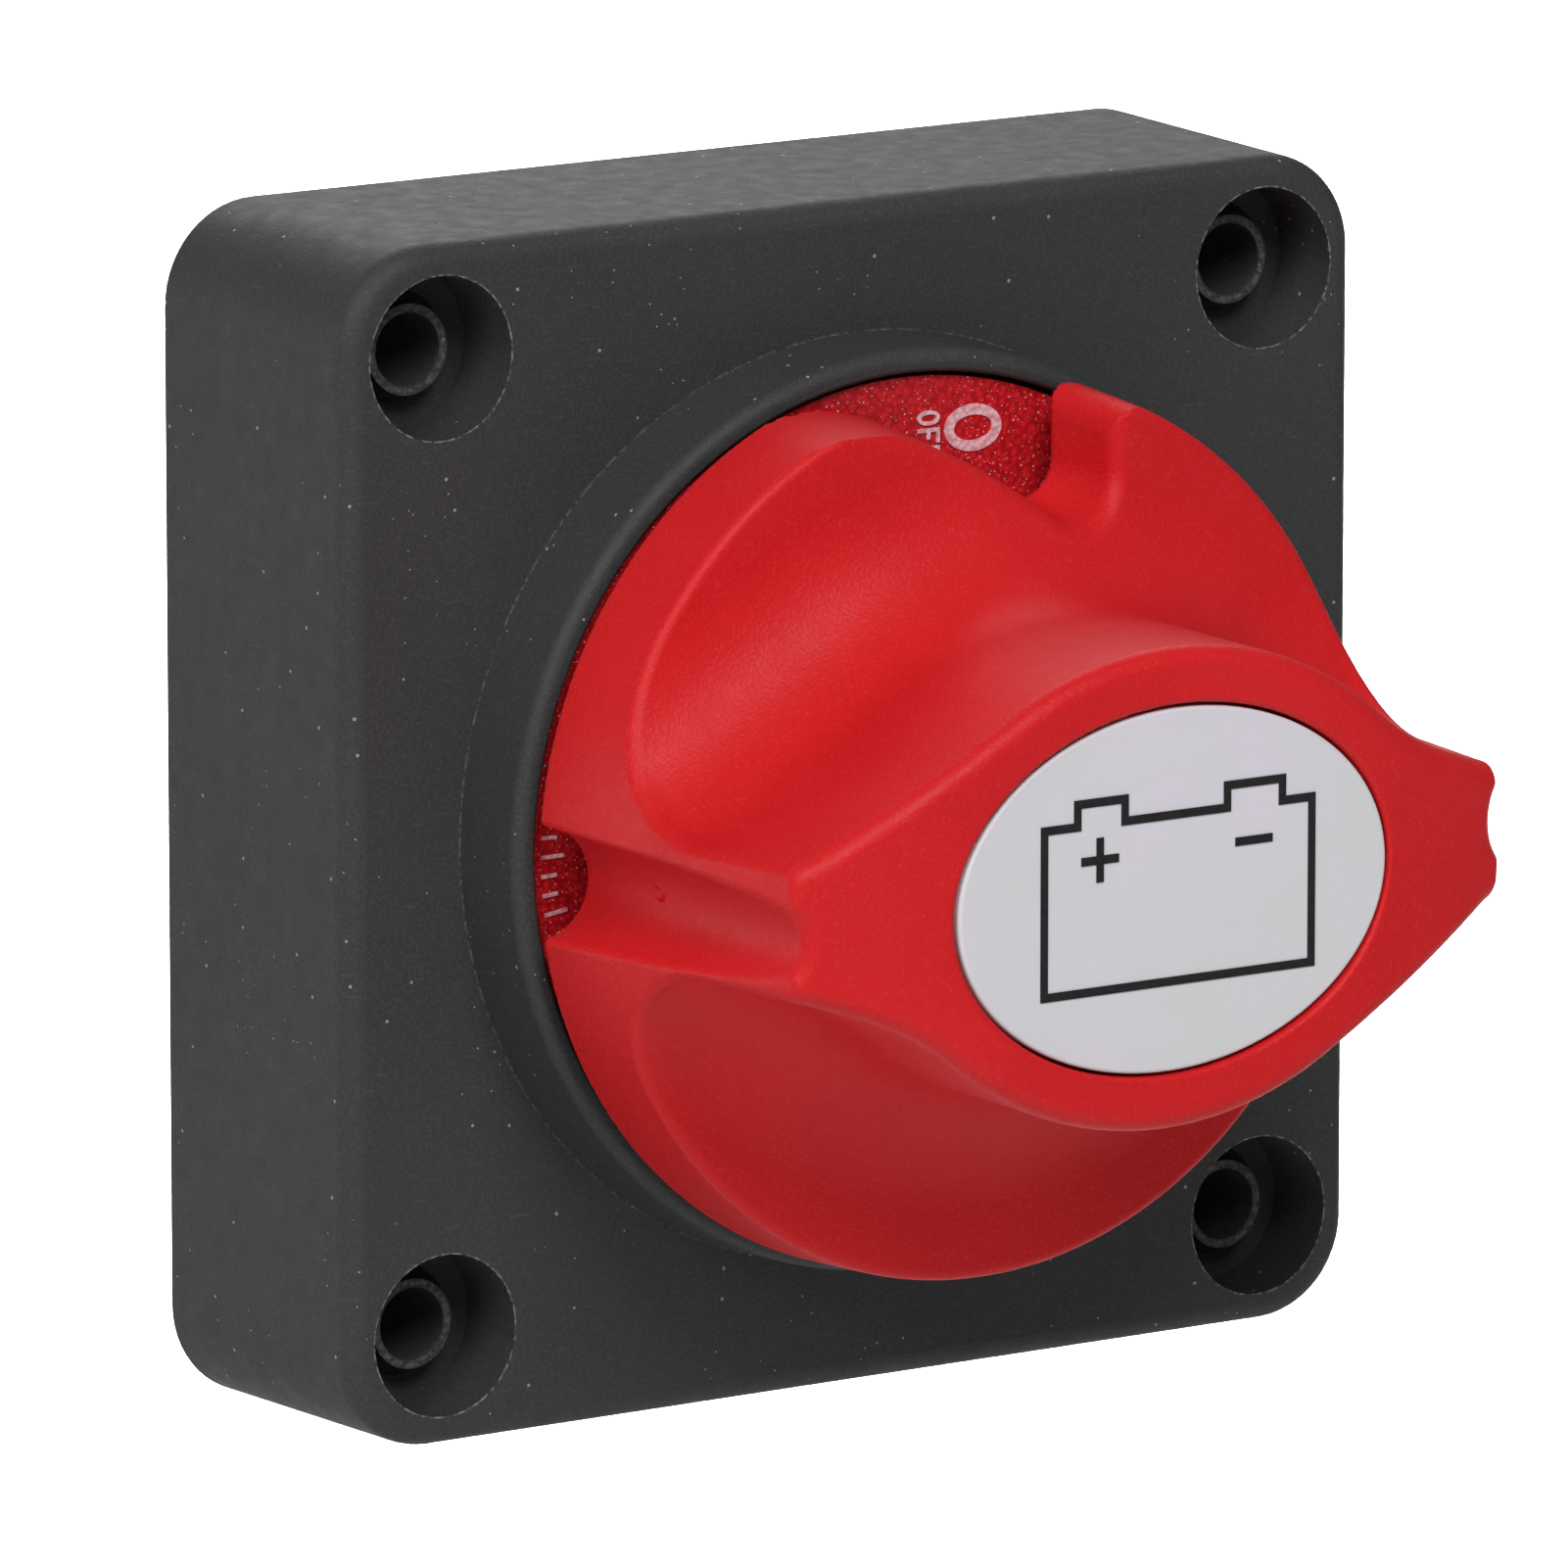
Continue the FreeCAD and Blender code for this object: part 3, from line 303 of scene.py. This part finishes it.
def surface_net(field, low, high, cell):
    """Points and quads of the surface where the field is zero."""
    axes = [np.arange(low[k] - 2 * cell, high[k] + 3 * cell, cell) for k in range(3)]
    values = field(axes[0][:, None, None], axes[1][None, :, None], axes[2][None, None, :])
    inside = values < 0
    corners = [(i, j, k) for i in (0, 1) for j in (0, 1) for k in (0, 1)]
    size = [n - 1 for n in inside.shape]
    count = np.zeros(size, np.int8)
    for i, j, k in corners:
        count += inside[i:i + size[0], j:j + size[1], k:k + size[2]]
    cells = np.argwhere((count > 0) & (count < 8))
    total, hits = np.zeros((len(cells), 3)), np.zeros(len(cells))
    for start in corners:
        for axis in range(3):
            if start[axis]:
                continue
            end = list(start)
            end[axis] = 1
            a = values[tuple((cells + start).T)]
            b = values[tuple((cells + end).T)]
            crossing = (a < 0) != (b < 0)
            share = np.where(crossing, a / np.where(crossing, a - b, 1), 0)
            point = np.tile(np.array(start, float), (len(cells), 1))
            point[:, axis] += share
            total += point * crossing[:, None]
            hits += crossing
    points = np.array([a[0] for a in axes]) + (cells + total / hits[:, None]) * cell
    number = np.full(size, -1, np.int64)
    number[tuple(cells.T)] = np.arange(len(cells))
    quads = []
    for axis in range(3):
        b, c = (axis + 1) % 3, (axis + 2) % 3
        lower = np.take(inside, range(inside.shape[axis] - 1), axis)
        upper = np.take(inside, range(1, inside.shape[axis]), axis)
        edges = np.argwhere(lower != upper)
        leaving = lower[tuple(edges.T)]
        ring = []
        for db, dc in ((1, 1), (0, 1), (0, 0), (1, 0)):
            at = edges.copy()
            at[:, b] -= db
            at[:, c] -= dc
            ring.append(number[tuple(at.T)])
        quad = np.stack(ring, 1)
        quad[~leaving] = quad[~leaving][:, ::-1]
        quads.append(quad)
    for _ in range(SETTLING_STEPS):
        slope = gradient(field, points)
        steep = np.maximum((slope ** 2).sum(1), LEAST_SLOPE)
        move = (field(*points.T) / steep)[:, None] * slope
        points -= np.clip(move, -SETTLING_REACH * cell, SETTLING_REACH * cell)
    return points, np.concatenate(quads)


def new_object(name, mesh):
    obj = bpy.data.objects.new(name, mesh)
    bpy.context.scene.collection.objects.link(obj)
    return obj


def to_frame(points):
    """Face-on millimetres (u, v, h over the front face) to metres in the part's frame."""
    points = np.asarray(points, float)
    return np.stack([points[:, 0], -(points[:, 2] + FACE), points[:, 1]], 1) * MM


def make_knob():
    """The knob's mesh, with normals taken from the field itself."""
    low = (KNOB_LOW_CORNER.x, KNOB_LOW_CORNER.z, KNOB_LOW)
    high = (KNOB_HIGH_CORNER.x, KNOB_HIGH_CORNER.z, KNOB_TOP)
    points, quads = surface_net(knob_field, low, high, CELL)
    slope = gradient(knob_field, points)
    mesh = bpy.data.meshes.new("knob_shell")
    mesh.from_pydata(to_frame(points).tolist(), [], quads.tolist())
    mesh.shade_smooth()
    normals = np.stack([slope[:, 0], -slope[:, 2], slope[:, 1]], 1)
    normals /= np.maximum(np.linalg.norm(normals, axis=1), 1e-9)[:, None]
    mesh.normals_split_custom_set_from_vertices(normals.tolist())
    return new_object("knob_shell", mesh)


# ---------------------------------------------------------------- threaded studs
def thread_radius(phase):
    """Radius of the thread at a phase of 0 to 1 along one pitch: crest, flank, root, flank."""
    flank = (1 - THREAD_CREST - THREAD_ROOT) / 2
    p = phase % 1.0
    if p < THREAD_CREST:
        return STUD_R
    if p < THREAD_CREST + flank:
        return STUD_R - THREAD_DEPTH * (p - THREAD_CREST) / flank
    if p < THREAD_CREST + flank + THREAD_ROOT:
        return STUD_R - THREAD_DEPTH
    return STUD_R - THREAD_DEPTH * (1 - p) / flank


def threaded_shank(bm, centre_v, end):
    """The shank from its chamfered end up to the head, in one skin that follows the helix."""
    rings = []
    turns = (SHANK_TOP - end) / THREAD_PITCH + 2
    for k in range(int(turns * THREAD_STEPS)):
        ring = []
        for s in range(THREAD_ROUND):
            share = s / THREAD_ROUND
            w = end + (k / THREAD_STEPS + share - 1) * THREAD_PITCH
            height = min(max(w, end), SHANK_TOP)
            radius = min(thread_radius(k / THREAD_STEPS), STUD_R - STUD_CHAMFER + height - end)
            angle = 2 * math.pi * share
            x, z = radius * math.cos(angle), radius * math.sin(angle)
            ring.append(bm.verts.new((x, -height, centre_v + z)))
        rings.append(ring)
    for k in range(len(rings) - 1):
        for s in range(THREAD_ROUND - 1):
            a, b = rings[k], rings[k + 1]
            bm.faces.new((a[s], a[s + 1], b[s + 1], b[s]))
        after = k + THREAD_STEPS
        if after + 1 < len(rings):
            bm.faces.new((rings[k][-1], rings[after][0], rings[after + 1][0], rings[k + 1][-1]))


def stud_head(bm, centre_v):
    """A round head with two flats."""
    corner = math.asin(STUD_HEAD_FLAT / STUD_HEAD_R)
    profile = []
    for base in (-math.pi / 2, math.pi / 2):
        for k in range(STUD_HEAD_STEPS + 1):
            angle = base - corner + 2 * corner * k / STUD_HEAD_STEPS
            profile.append((STUD_HEAD_R * math.cos(angle), STUD_HEAD_R * math.sin(angle)))
    top = SHANK_TOP + STUD_HEAD
    inner = 1 - STUD_HEAD_EDGE / STUD_HEAD_R
    levels = [(SHANK_TOP, inner), (SHANK_TOP + STUD_HEAD_EDGE, 1),
              (top - STUD_HEAD_EDGE, 1), (top, inner)]
    rings = [[bm.verts.new((x * f, -w, centre_v + z * f)) for x, z in profile] for w, f in levels]
    count = len(profile)
    for lower, upper in zip(rings, rings[1:]):
        for s in range(count):
            bm.faces.new((lower[s], lower[(s + 1) % count], upper[(s + 1) % count], upper[s]))
    bm.faces.new(rings[0])
    bm.faces.new(rings[-1])


def make_stud(name, node):
    """A threaded stud in the place of a plain one."""
    low, high = node_mm(node)
    centre_v = (low.z + high.z) / 2
    end = -high.y
    bm = bmesh.new()
    threaded_shank(bm, centre_v, end)
    bmesh.ops.remove_doubles(bm, verts=bm.verts, dist=WELD)
    bmesh.ops.holes_fill(bm, edges=[e for e in bm.edges if e.is_boundary], sides=0)
    stud_head(bm, centre_v)
    bmesh.ops.recalc_face_normals(bm, faces=bm.faces)
    mesh = bpy.data.meshes.new(name)
    bmesh.ops.scale(bm, vec=(MM, MM, MM), verts=bm.verts)
    bm.to_mesh(mesh)
    bm.free()
    mesh.shade_smooth()
    mesh.set_sharp_from_angle(angle=math.radians(STUD_CREASE))
    return new_object(name, mesh)


# ---------------------------------------------------------------- materials
NOISE_ROUGHNESS = 0.55
NOISE_LOW, NOISE_HIGH = 0.3, 0.7           # most of a noise lies between these


class Paint:
    """A node material, with short calls for the nodes that the finishes share."""

    def __init__(self, name, colour, roughness, metallic=0.0, specular=0.5):
        self.material = bpy.data.materials.new(name)
        self.material.use_nodes = True
        self.tree = self.material.node_tree
        self.shader = self.tree.nodes["Principled BSDF"]
        self.shader.inputs["Base Color"].default_value = (*colour, 1)
        self.shader.inputs["Roughness"].default_value = roughness
        self.shader.inputs["Metallic"].default_value = metallic
        self.shader.inputs["Specular IOR Level"].default_value = specular
        self.place = self.node("ShaderNodeTexCoord").outputs["Object"]
        self.height = None

    def node(self, kind, **settings):
        made = self.tree.nodes.new(kind)
        for key, value in settings.items():
            setattr(made, key, value)
        return made

    def link(self, source, target):
        self.tree.links.new(source, target)

    def stretched(self, scale):
        mapping = self.node("ShaderNodeMapping")
        mapping.inputs["Scale"].default_value = scale
        self.link(self.place, mapping.inputs["Vector"])
        return mapping.outputs["Vector"]

    def noise(self, scale, detail, where=None):
        made = self.node("ShaderNodeTexNoise")
        made.inputs["Scale"].default_value = scale
        made.inputs["Detail"].default_value = detail
        made.inputs["Roughness"].default_value = NOISE_ROUGHNESS
        self.link(where or self.place, made.inputs["Vector"])
        return made.outputs["Fac"]

    def cells(self, scale):
        made = self.node("ShaderNodeTexVoronoi")
        made.inputs["Scale"].default_value = scale
        self.link(self.place, made.inputs["Vector"])
        return made.outputs["Distance"]

    def span(self, value, low, high, to_low, to_high):
        made = self.node("ShaderNodeMapRange")
        for key, number in (("From Min", low), ("From Max", high),
                            ("To Min", to_low), ("To Max", to_high)):
            made.inputs[key].default_value = number
        self.link(value, made.inputs["Value"])
        return made.outputs["Result"]

    def varied(self, scale, detail, low=0, high=1, where=None):
        """A noise whose usual spread is stretched to low and high."""
        return self.span(self.noise(scale, detail, where), NOISE_LOW, NOISE_HIGH, low, high)

    def maths(self, kind, a, b=0):
        made = self.node("ShaderNodeMath", operation=kind)
        for slot, value in zip(made.inputs, (a, b)):
            if isinstance(value, (int, float)):
                slot.default_value = value
            else:
                self.link(value, slot)
        return made.outputs["Value"]

    def colour_between(self, share, first, second):
        made = self.node("ShaderNodeMix", data_type="RGBA")
        for key, value in (("A", first), ("B", second)):
            slot = next(s for s in made.inputs if s.name == key and s.type == "RGBA")
            if isinstance(value, tuple):
                slot.default_value = (*value, 1)
            else:
                self.link(value, slot)
        self.link(share, made.inputs["Factor"])
        return next(s for s in made.outputs if s.type == "RGBA")

    def coloured(self, colour):
        self.link(colour, self.shader.inputs["Base Color"])

    def roughened(self, value):
        self.link(value, self.shader.inputs["Roughness"])

    def bumped(self, height, depth, strength=1.0):
        """Adds a layer of relief, depth metres deep, over what is there."""
        bump = self.node("ShaderNodeBump")
        bump.inputs["Strength"].default_value = strength
        bump.inputs["Distance"].default_value = depth
        self.link(height, bump.inputs["Height"])
        if self.height:
            self.link(self.height, bump.inputs["Normal"])
        self.height = bump.outputs["Normal"]
        self.link(self.height, self.shader.inputs["Normal"])


def ring_highlight(p, centres, radius, h, wide):
    """A broken pale line of painted highlight on circles at height h over the front face, wide mm to
    each side.
    """
    nearest = None
    for u, v in centres:
        shift = p.node("ShaderNodeVectorMath", operation="SUBTRACT")
        shift.inputs[1].default_value = (u * MM, -(FACE + h) * MM, v * MM)
        p.link(p.place, shift.inputs[0])
        split = p.node("ShaderNodeSeparateXYZ")
        p.link(shift.outputs["Vector"], split.inputs["Vector"])
        squares = [p.maths("POWER", split.outputs[axis], 2) for axis in ("X", "Z")]
        reach = p.maths("SQRT", p.maths("ADD", *squares))
        across = p.maths("ABSOLUTE", p.maths("SUBTRACT", reach, radius * MM))
        off = p.maths("MAXIMUM", across, p.maths("ABSOLUTE", split.outputs["Y"]))
        nearest = p.maths("MINIMUM", nearest, off) if nearest else off
    line = p.span(nearest, 0, wide * MM, 1, 0)
    return p.maths("MULTIPLY", line, p.span(p.noise(2600, 3), 0.42, 0.62, 0, 1))


def case_plastic():
    """Charcoal moulding: fine spark-eroded grain, scratches, pale dust and painted highlight lines
    on rims and the collar's crease.
    """
    p = Paint("case_plastic", (0.036, 0.037, 0.038), 0.6, specular=0.28)
    cloud = p.varied(60, 3)
    grain = p.noise(5200, 2)
    base = p.colour_between(cloud, (0.034, 0.035, 0.035), (0.039, 0.040, 0.040))
    mottled = p.colour_between(p.span(grain, 0.45, 0.75, 0, 0.5), base, (0.070, 0.070, 0.071))
    scratches = p.span(p.noise(420, 2, p.stretched((1, 1, 14))), 0.68, 0.76, 0, 0.28)
    scratched = p.colour_between(scratches, mottled, (0.11, 0.11, 0.11))
    specks = p.maths("MULTIPLY", p.maths("LESS_THAN", p.cells(520), 0.055), 0.9)
    clusters = p.maths("GREATER_THAN", p.noise(110, 1), 0.56)
    fine = p.maths("MULTIPLY", p.maths("LESS_THAN", p.cells(1300), 0.07), clusters)
    dust = p.maths("MAXIMUM", specks, fine)
    dusty = p.colour_between(dust, scratched, (0.30, 0.30, 0.30))
    # Painted highlights: broken pale lines on the counterbore rims, the tube rims and the collar's
    # crease, mixed into the colour.
    wells = ring_highlight(p, HOLE_CENTRES, WELL_R, 0, WELL_HIGHLIGHT)
    tubes = ring_highlight(p, HOLE_CENTRES, TUBE_R, TUBE_TOP, TUBE_HIGHLIGHT)
    crease = ring_highlight(p, [(0, 0)], COLLAR_R, 0, COLLAR_HIGHLIGHT)
    wear_and_highlight = p.maths("MAXIMUM", p.maths("MULTIPLY", wells, 0.9), p.maths("MULTIPLY", crease, 0.3))
    wear_and_highlight = p.maths("MAXIMUM", wear_and_highlight, p.maths("MULTIPLY", tubes, 0.3))
    p.coloured(p.colour_between(wear_and_highlight, dusty, (0.30, 0.30, 0.30)))
    p.roughened(p.varied(700, 3, 0.54, 0.66))
    p.bumped(grain, 0.00004, 0.8)
    p.bumped(p.noise(1500, 3), 0.00002, 0.5)
    return p.material


def base_plastic():
    """Matt black thermoset, with flow marks."""
    p = Paint("base_plastic", (0.024, 0.024, 0.025), 0.5, specular=0.45)
    flow = p.varied(140, 5, where=p.stretched((1, 1, 3)))
    p.coloured(p.colour_between(flow, (0.018, 0.018, 0.019), (0.034, 0.034, 0.035)))
    p.roughened(p.varied(900, 3, 0.42, 0.6))
    p.bumped(p.noise(3200, 3), 0.00003, 0.6)
    return p.material


def knob_plastic():
    """Satin red moulding: fine grain, soft colour drift, a painted highlight line on the lower rim,
    a little light carried inside it.
    """
    p = Paint("knob_plastic", (0.62, 0.010, 0.012), 0.44, specular=0.18)
    drift = p.varied(60, 3)
    base = p.colour_between(drift, (0.58, 0.010, 0.013), (0.66, 0.015, 0.018))
    grain = p.noise(4600, 2)
    grained = p.colour_between(p.span(grain, 0.55, 0.8, 0, 0.35), base, (0.78, 0.06, 0.07))
    # Painted highlight: a broken pale pink line along the rounding of the lower rim.
    line = ring_highlight(p, [(0, 0)], RIM_R - RIM_HIGHLIGHT / 2, KNOB_LOW + RIM_HIGHLIGHT / 2, RIM_HIGHLIGHT)
    rim = p.maths("MULTIPLY", line, 0.45)
    p.coloured(p.colour_between(rim, grained, (0.85, 0.40, 0.40)))
    p.roughened(p.varied(900, 3, 0.40, 0.50))
    p.shader.inputs["Subsurface Weight"].default_value = 0.06
    p.shader.inputs["Subsurface Radius"].default_value = (1.0, 0.12, 0.08)
    p.shader.inputs["Subsurface Scale"].default_value = 0.001
    p.bumped(grain, 0.00005, 0.8)
    p.bumped(p.noise(1300, 2), 0.00003, 0.3)
    return p.material


def dial_plastic():
    """Deep red with a pebbled leather grain that sparkles."""
    p = Paint("dial_plastic", (0.55, 0.008, 0.014), 0.4, specular=0.4)
    pebble = p.cells(2600)
    hollow = p.span(pebble, 0.2, 0.7, 0, 1)
    base = p.colour_between(hollow, (0.66, 0.012, 0.020), (0.40, 0.005, 0.010))
    glint = p.maths("GREATER_THAN", p.noise(6500, 1), 0.70)
    p.coloured(p.colour_between(glint, base, (0.86, 0.62, 0.66)))
    p.roughened(p.varied(2600, 3, 0.32, 0.5))
    p.bumped(pebble, 0.00006, 0.7)
    p.bumped(p.noise(5200, 2), 0.00003, 0.4)
    return p.material


def print_white():
    """Pad print that lets the red grain show through."""
    p = Paint("print_white", (0.80, 0.50, 0.56), 0.5)
    wear_and_highlight = p.span(p.cells(3000), 0.35, 0.75, 0, 0.55)
    p.coloured(p.colour_between(wear_and_highlight, (0.82, 0.56, 0.62), (0.60, 0.12, 0.16)))
    p.roughened(p.varied(2400, 3, 0.4, 0.6))
    p.bumped(p.cells(3000), 0.00008, 0.7)
    return p.material


def label_plastic():
    """Satin light grey plate."""
    p = Paint("label_plastic", (0.62, 0.61, 0.65), 0.42)
    drift = p.varied(70, 3)
    p.coloured(p.colour_between(drift, (0.66, 0.68, 0.67), (0.72, 0.68, 0.75)))
    p.roughened(p.varied(1100, 4, 0.36, 0.5))
    p.bumped(p.noise(3000, 3), 0.00002, 0.35)
    return p.material


def ink_black():
    """Black ink, thinner in places."""
    p = Paint("ink_black", (0.009, 0.010, 0.010), 0.5, specular=0.3)
    thin = p.span(p.noise(2200, 4), 0.3, 0.75, 0, 1)
    p.coloured(p.colour_between(thin, (0.007, 0.008, 0.008), (0.018, 0.019, 0.019)))
    p.roughened(p.varied(1500, 3, 0.38, 0.55))
    p.bumped(p.noise(4000, 3), 0.00002, 0.4)
    return p.material


def metal(name, dark, bright, rough, lines):
    """Turned or drawn metal: fine lines along one direction, with stains and a rougher patchwork."""
    p = Paint(name, dark, rough, metallic=1.0)
    brushed = p.noise(900, 4, p.stretched(lines))
    stain = p.varied(220, 4)
    p.coloured(p.colour_between(stain, dark, bright))
    p.roughened(p.span(brushed, 0.3, 0.7, rough - 0.08, rough + 0.12))
    p.bumped(brushed, 0.00003, 0.35)
    p.bumped(p.noise(1800, 3), 0.00002, 0.25)
    return p.material


def acetal():
    """Cream machined plastic."""
    p = Paint("rotor_plastic", (0.62, 0.58, 0.48), 0.38)
    drift = p.varied(120, 3)
    p.coloured(p.colour_between(drift, (0.58, 0.54, 0.44), (0.68, 0.64, 0.54)))
    p.roughened(p.varied(900, 3, 0.32, 0.45))
    p.bumped(p.noise(2600, 3), 0.00002, 0.4)
    return p.material


def rubber():
    """Black rubber with a pale bloom."""
    p = Paint("rubber_black", (0.018, 0.018, 0.018), 0.75, specular=0.3)
    bloom = p.span(p.noise(300, 4), 0.4, 0.75, 0, 1)
    p.coloured(p.colour_between(bloom, (0.014, 0.014, 0.014), (0.045, 0.045, 0.045)))
    p.roughened(p.varied(1200, 3, 0.65, 0.85))
    p.bumped(p.noise(3800, 3), 0.00003, 0.6)
    return p.material


def make_materials():
    """One finish for each material slot of the record."""
    return {
        "case_plastic": case_plastic(),
        "base_plastic": base_plastic(),
        "knob_plastic": knob_plastic(),
        "dial_plastic": dial_plastic(),
        "print_white": print_white(),
        "label_plastic": label_plastic(),
        "ink_black": ink_black(),
        "rotor_plastic": acetal(),
        "tinned_copper": metal("tinned_copper", (0.50, 0.49, 0.46), (0.68, 0.67, 0.63), 0.34,
                               (1, 6, 1)),
        "copper": metal("copper", (0.52, 0.22, 0.13), (0.72, 0.34, 0.21), 0.32, (6, 1, 1)),
        "stainless": metal("stainless", (0.46, 0.46, 0.47), (0.64, 0.64, 0.65), 0.28, (1, 6, 1)),
        "spring_steel": metal("spring_steel", (0.34, 0.34, 0.35), (0.50, 0.50, 0.52), 0.3,
                              (1, 4, 1)),
        "rubber_black": rubber(),
    }


def dress(obj, material):
    """Gives all of an object's slots one material."""
    if obj.data.materials:
        for k in range(len(obj.data.materials)):
            obj.data.materials[k] = material
    else:
        obj.data.materials.append(material)


# ---------------------------------------------------------------- stage, light and camera
CAMERA_AZIMUTH = math.radians(33.62)
CAMERA_ELEVATION = math.radians(11.34)
CAMERA_DISTANCE = 0.9361     # metres, as are all lengths of the stage
CAMERA_LENS, CAMERA_SENSOR = 379.3, 36.0   # millimetres
CAMERA_NEAR, CAMERA_FAR = 0.01, 20
AIM_RIGHT = -0.00423         # the view's centre lies left of the front face's centre
AIM_UP = 0.00069
FLOOR_DROP = 0.25            # from the switch down to the floor, where its shadow is out of view
FLOOR_HALF = 4.0
FLOOR_SPOT = (0.9, 1.35, -0.3)             # the far part of the floor that fills the background
WORLD_STRENGTH = 0.15


def make_floor():
    """Pale floor, with a faint unevenness."""
    low = CASE_LOW * MM - FLOOR_DROP
    mesh = bpy.data.meshes.new("floor")
    signs = ((-1, -1), (1, -1), (1, 1), (-1, 1))
    corners = [(x * FLOOR_HALF, y * FLOOR_HALF, low) for x, y in signs]
    mesh.from_pydata(corners, [], [(0, 1, 2, 3)])
    floor = new_object("floor", mesh)
    p = Paint("floor", (0.86, 0.86, 0.86), 0.7, specular=0.2)
    p.roughened(p.varied(30, 3, 0.65, 0.8))
    mesh.materials.append(p.material)


def area_light(name, where, target, size, power, spread=180):
    """A round soft box of that size in metres, power in watts and spread in degrees."""
    data = bpy.data.lights.new(name, "AREA")
    data.shape = "DISK"
    data.size = size
    data.energy = power
    data.spread = math.radians(spread)
    lamp = new_object(name, data)
    lamp.location = where
    lamp.rotation_euler = (Vector(target) - Vector(where)).to_track_quat("-Z", "Y").to_euler()


def make_lights():
    """Soft boxes in front, at the left and behind, with a narrower one over the floor's far part."""
    middle = (0, -FACE * MM, 0)
    area_light("front_high", (-0.25, -0.95, 0.95), middle, 0.6, 9.9)
    area_light("left_high", (-0.75, -0.45, 0.55), middle, 0.45, 4.0)
    area_light("left_rear", (-0.75, 0.75, -0.05), middle, 0.5, 1.5)
    area_light("top_rear", (0.4, 0.8, 0.62), middle, 0.8, 4.4)
    area_light("floor_light", (0.9, 1.35, 0.75), FLOOR_SPOT, 1.6, 42.0, 64)
    world = bpy.data.worlds.new("studio")
    world.use_nodes = True
    background = world.node_tree.nodes["Background"]
    background.inputs["Color"].default_value = (1, 1, 1, 1)
    background.inputs["Strength"].default_value = WORLD_STRENGTH
    bpy.context.scene.world = world
    bpy.context.scene.view_settings.view_transform = "Standard"


def make_camera():
    """A long lens that looks at the front face from the left and a little above."""
    data = bpy.data.cameras.new("camera")
    data.lens, data.sensor_width = CAMERA_LENS, CAMERA_SENSOR
    data.clip_start, data.clip_end = CAMERA_NEAR, CAMERA_FAR
    camera = new_object("camera", data)
    level, rise = math.cos(CAMERA_ELEVATION), math.sin(CAMERA_ELEVATION)
    back = Vector((-math.sin(CAMERA_AZIMUTH) * level, -math.cos(CAMERA_AZIMUTH) * level, rise))
    centre = Vector((0, -FACE * MM, 0))
    turn = (-back).to_track_quat("-Z", "Y")
    right, up = turn @ Vector((1, 0, 0)), turn @ Vector((0, 1, 0))
    camera.location = centre + back * CAMERA_DISTANCE
    aim = centre + right * AIM_RIGHT + up * AIM_UP
    camera.rotation_euler = (aim - camera.location).to_track_quat("-Z", "Y").to_euler()
    bpy.context.scene.camera = camera


# ---------------------------------------------------------------- putting it together
def main():
    """Dresses the CAD pieces, puts knob and studs in their places and sets the stage."""
    materials = make_materials()
    slot_of = {part["node"]: part["material_slot"] for part in frame["record"]["subparts"]}
    for name, obj in NODES.items():
        dress(obj, materials[slot_of[name]])

    knob = make_knob()
    dress(knob, materials["knob_plastic"])
    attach(knob, "turning_knob")
    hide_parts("knob")

    for side in ("upper", "lower"):
        node = "terminal_stud_" + side
        stud = make_stud("threaded_stud_" + side, node)
        dress(stud, materials["tinned_copper"])
        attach(stud, "case")
        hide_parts(node)

    make_floor()
    make_lights()
    make_camera()


main()
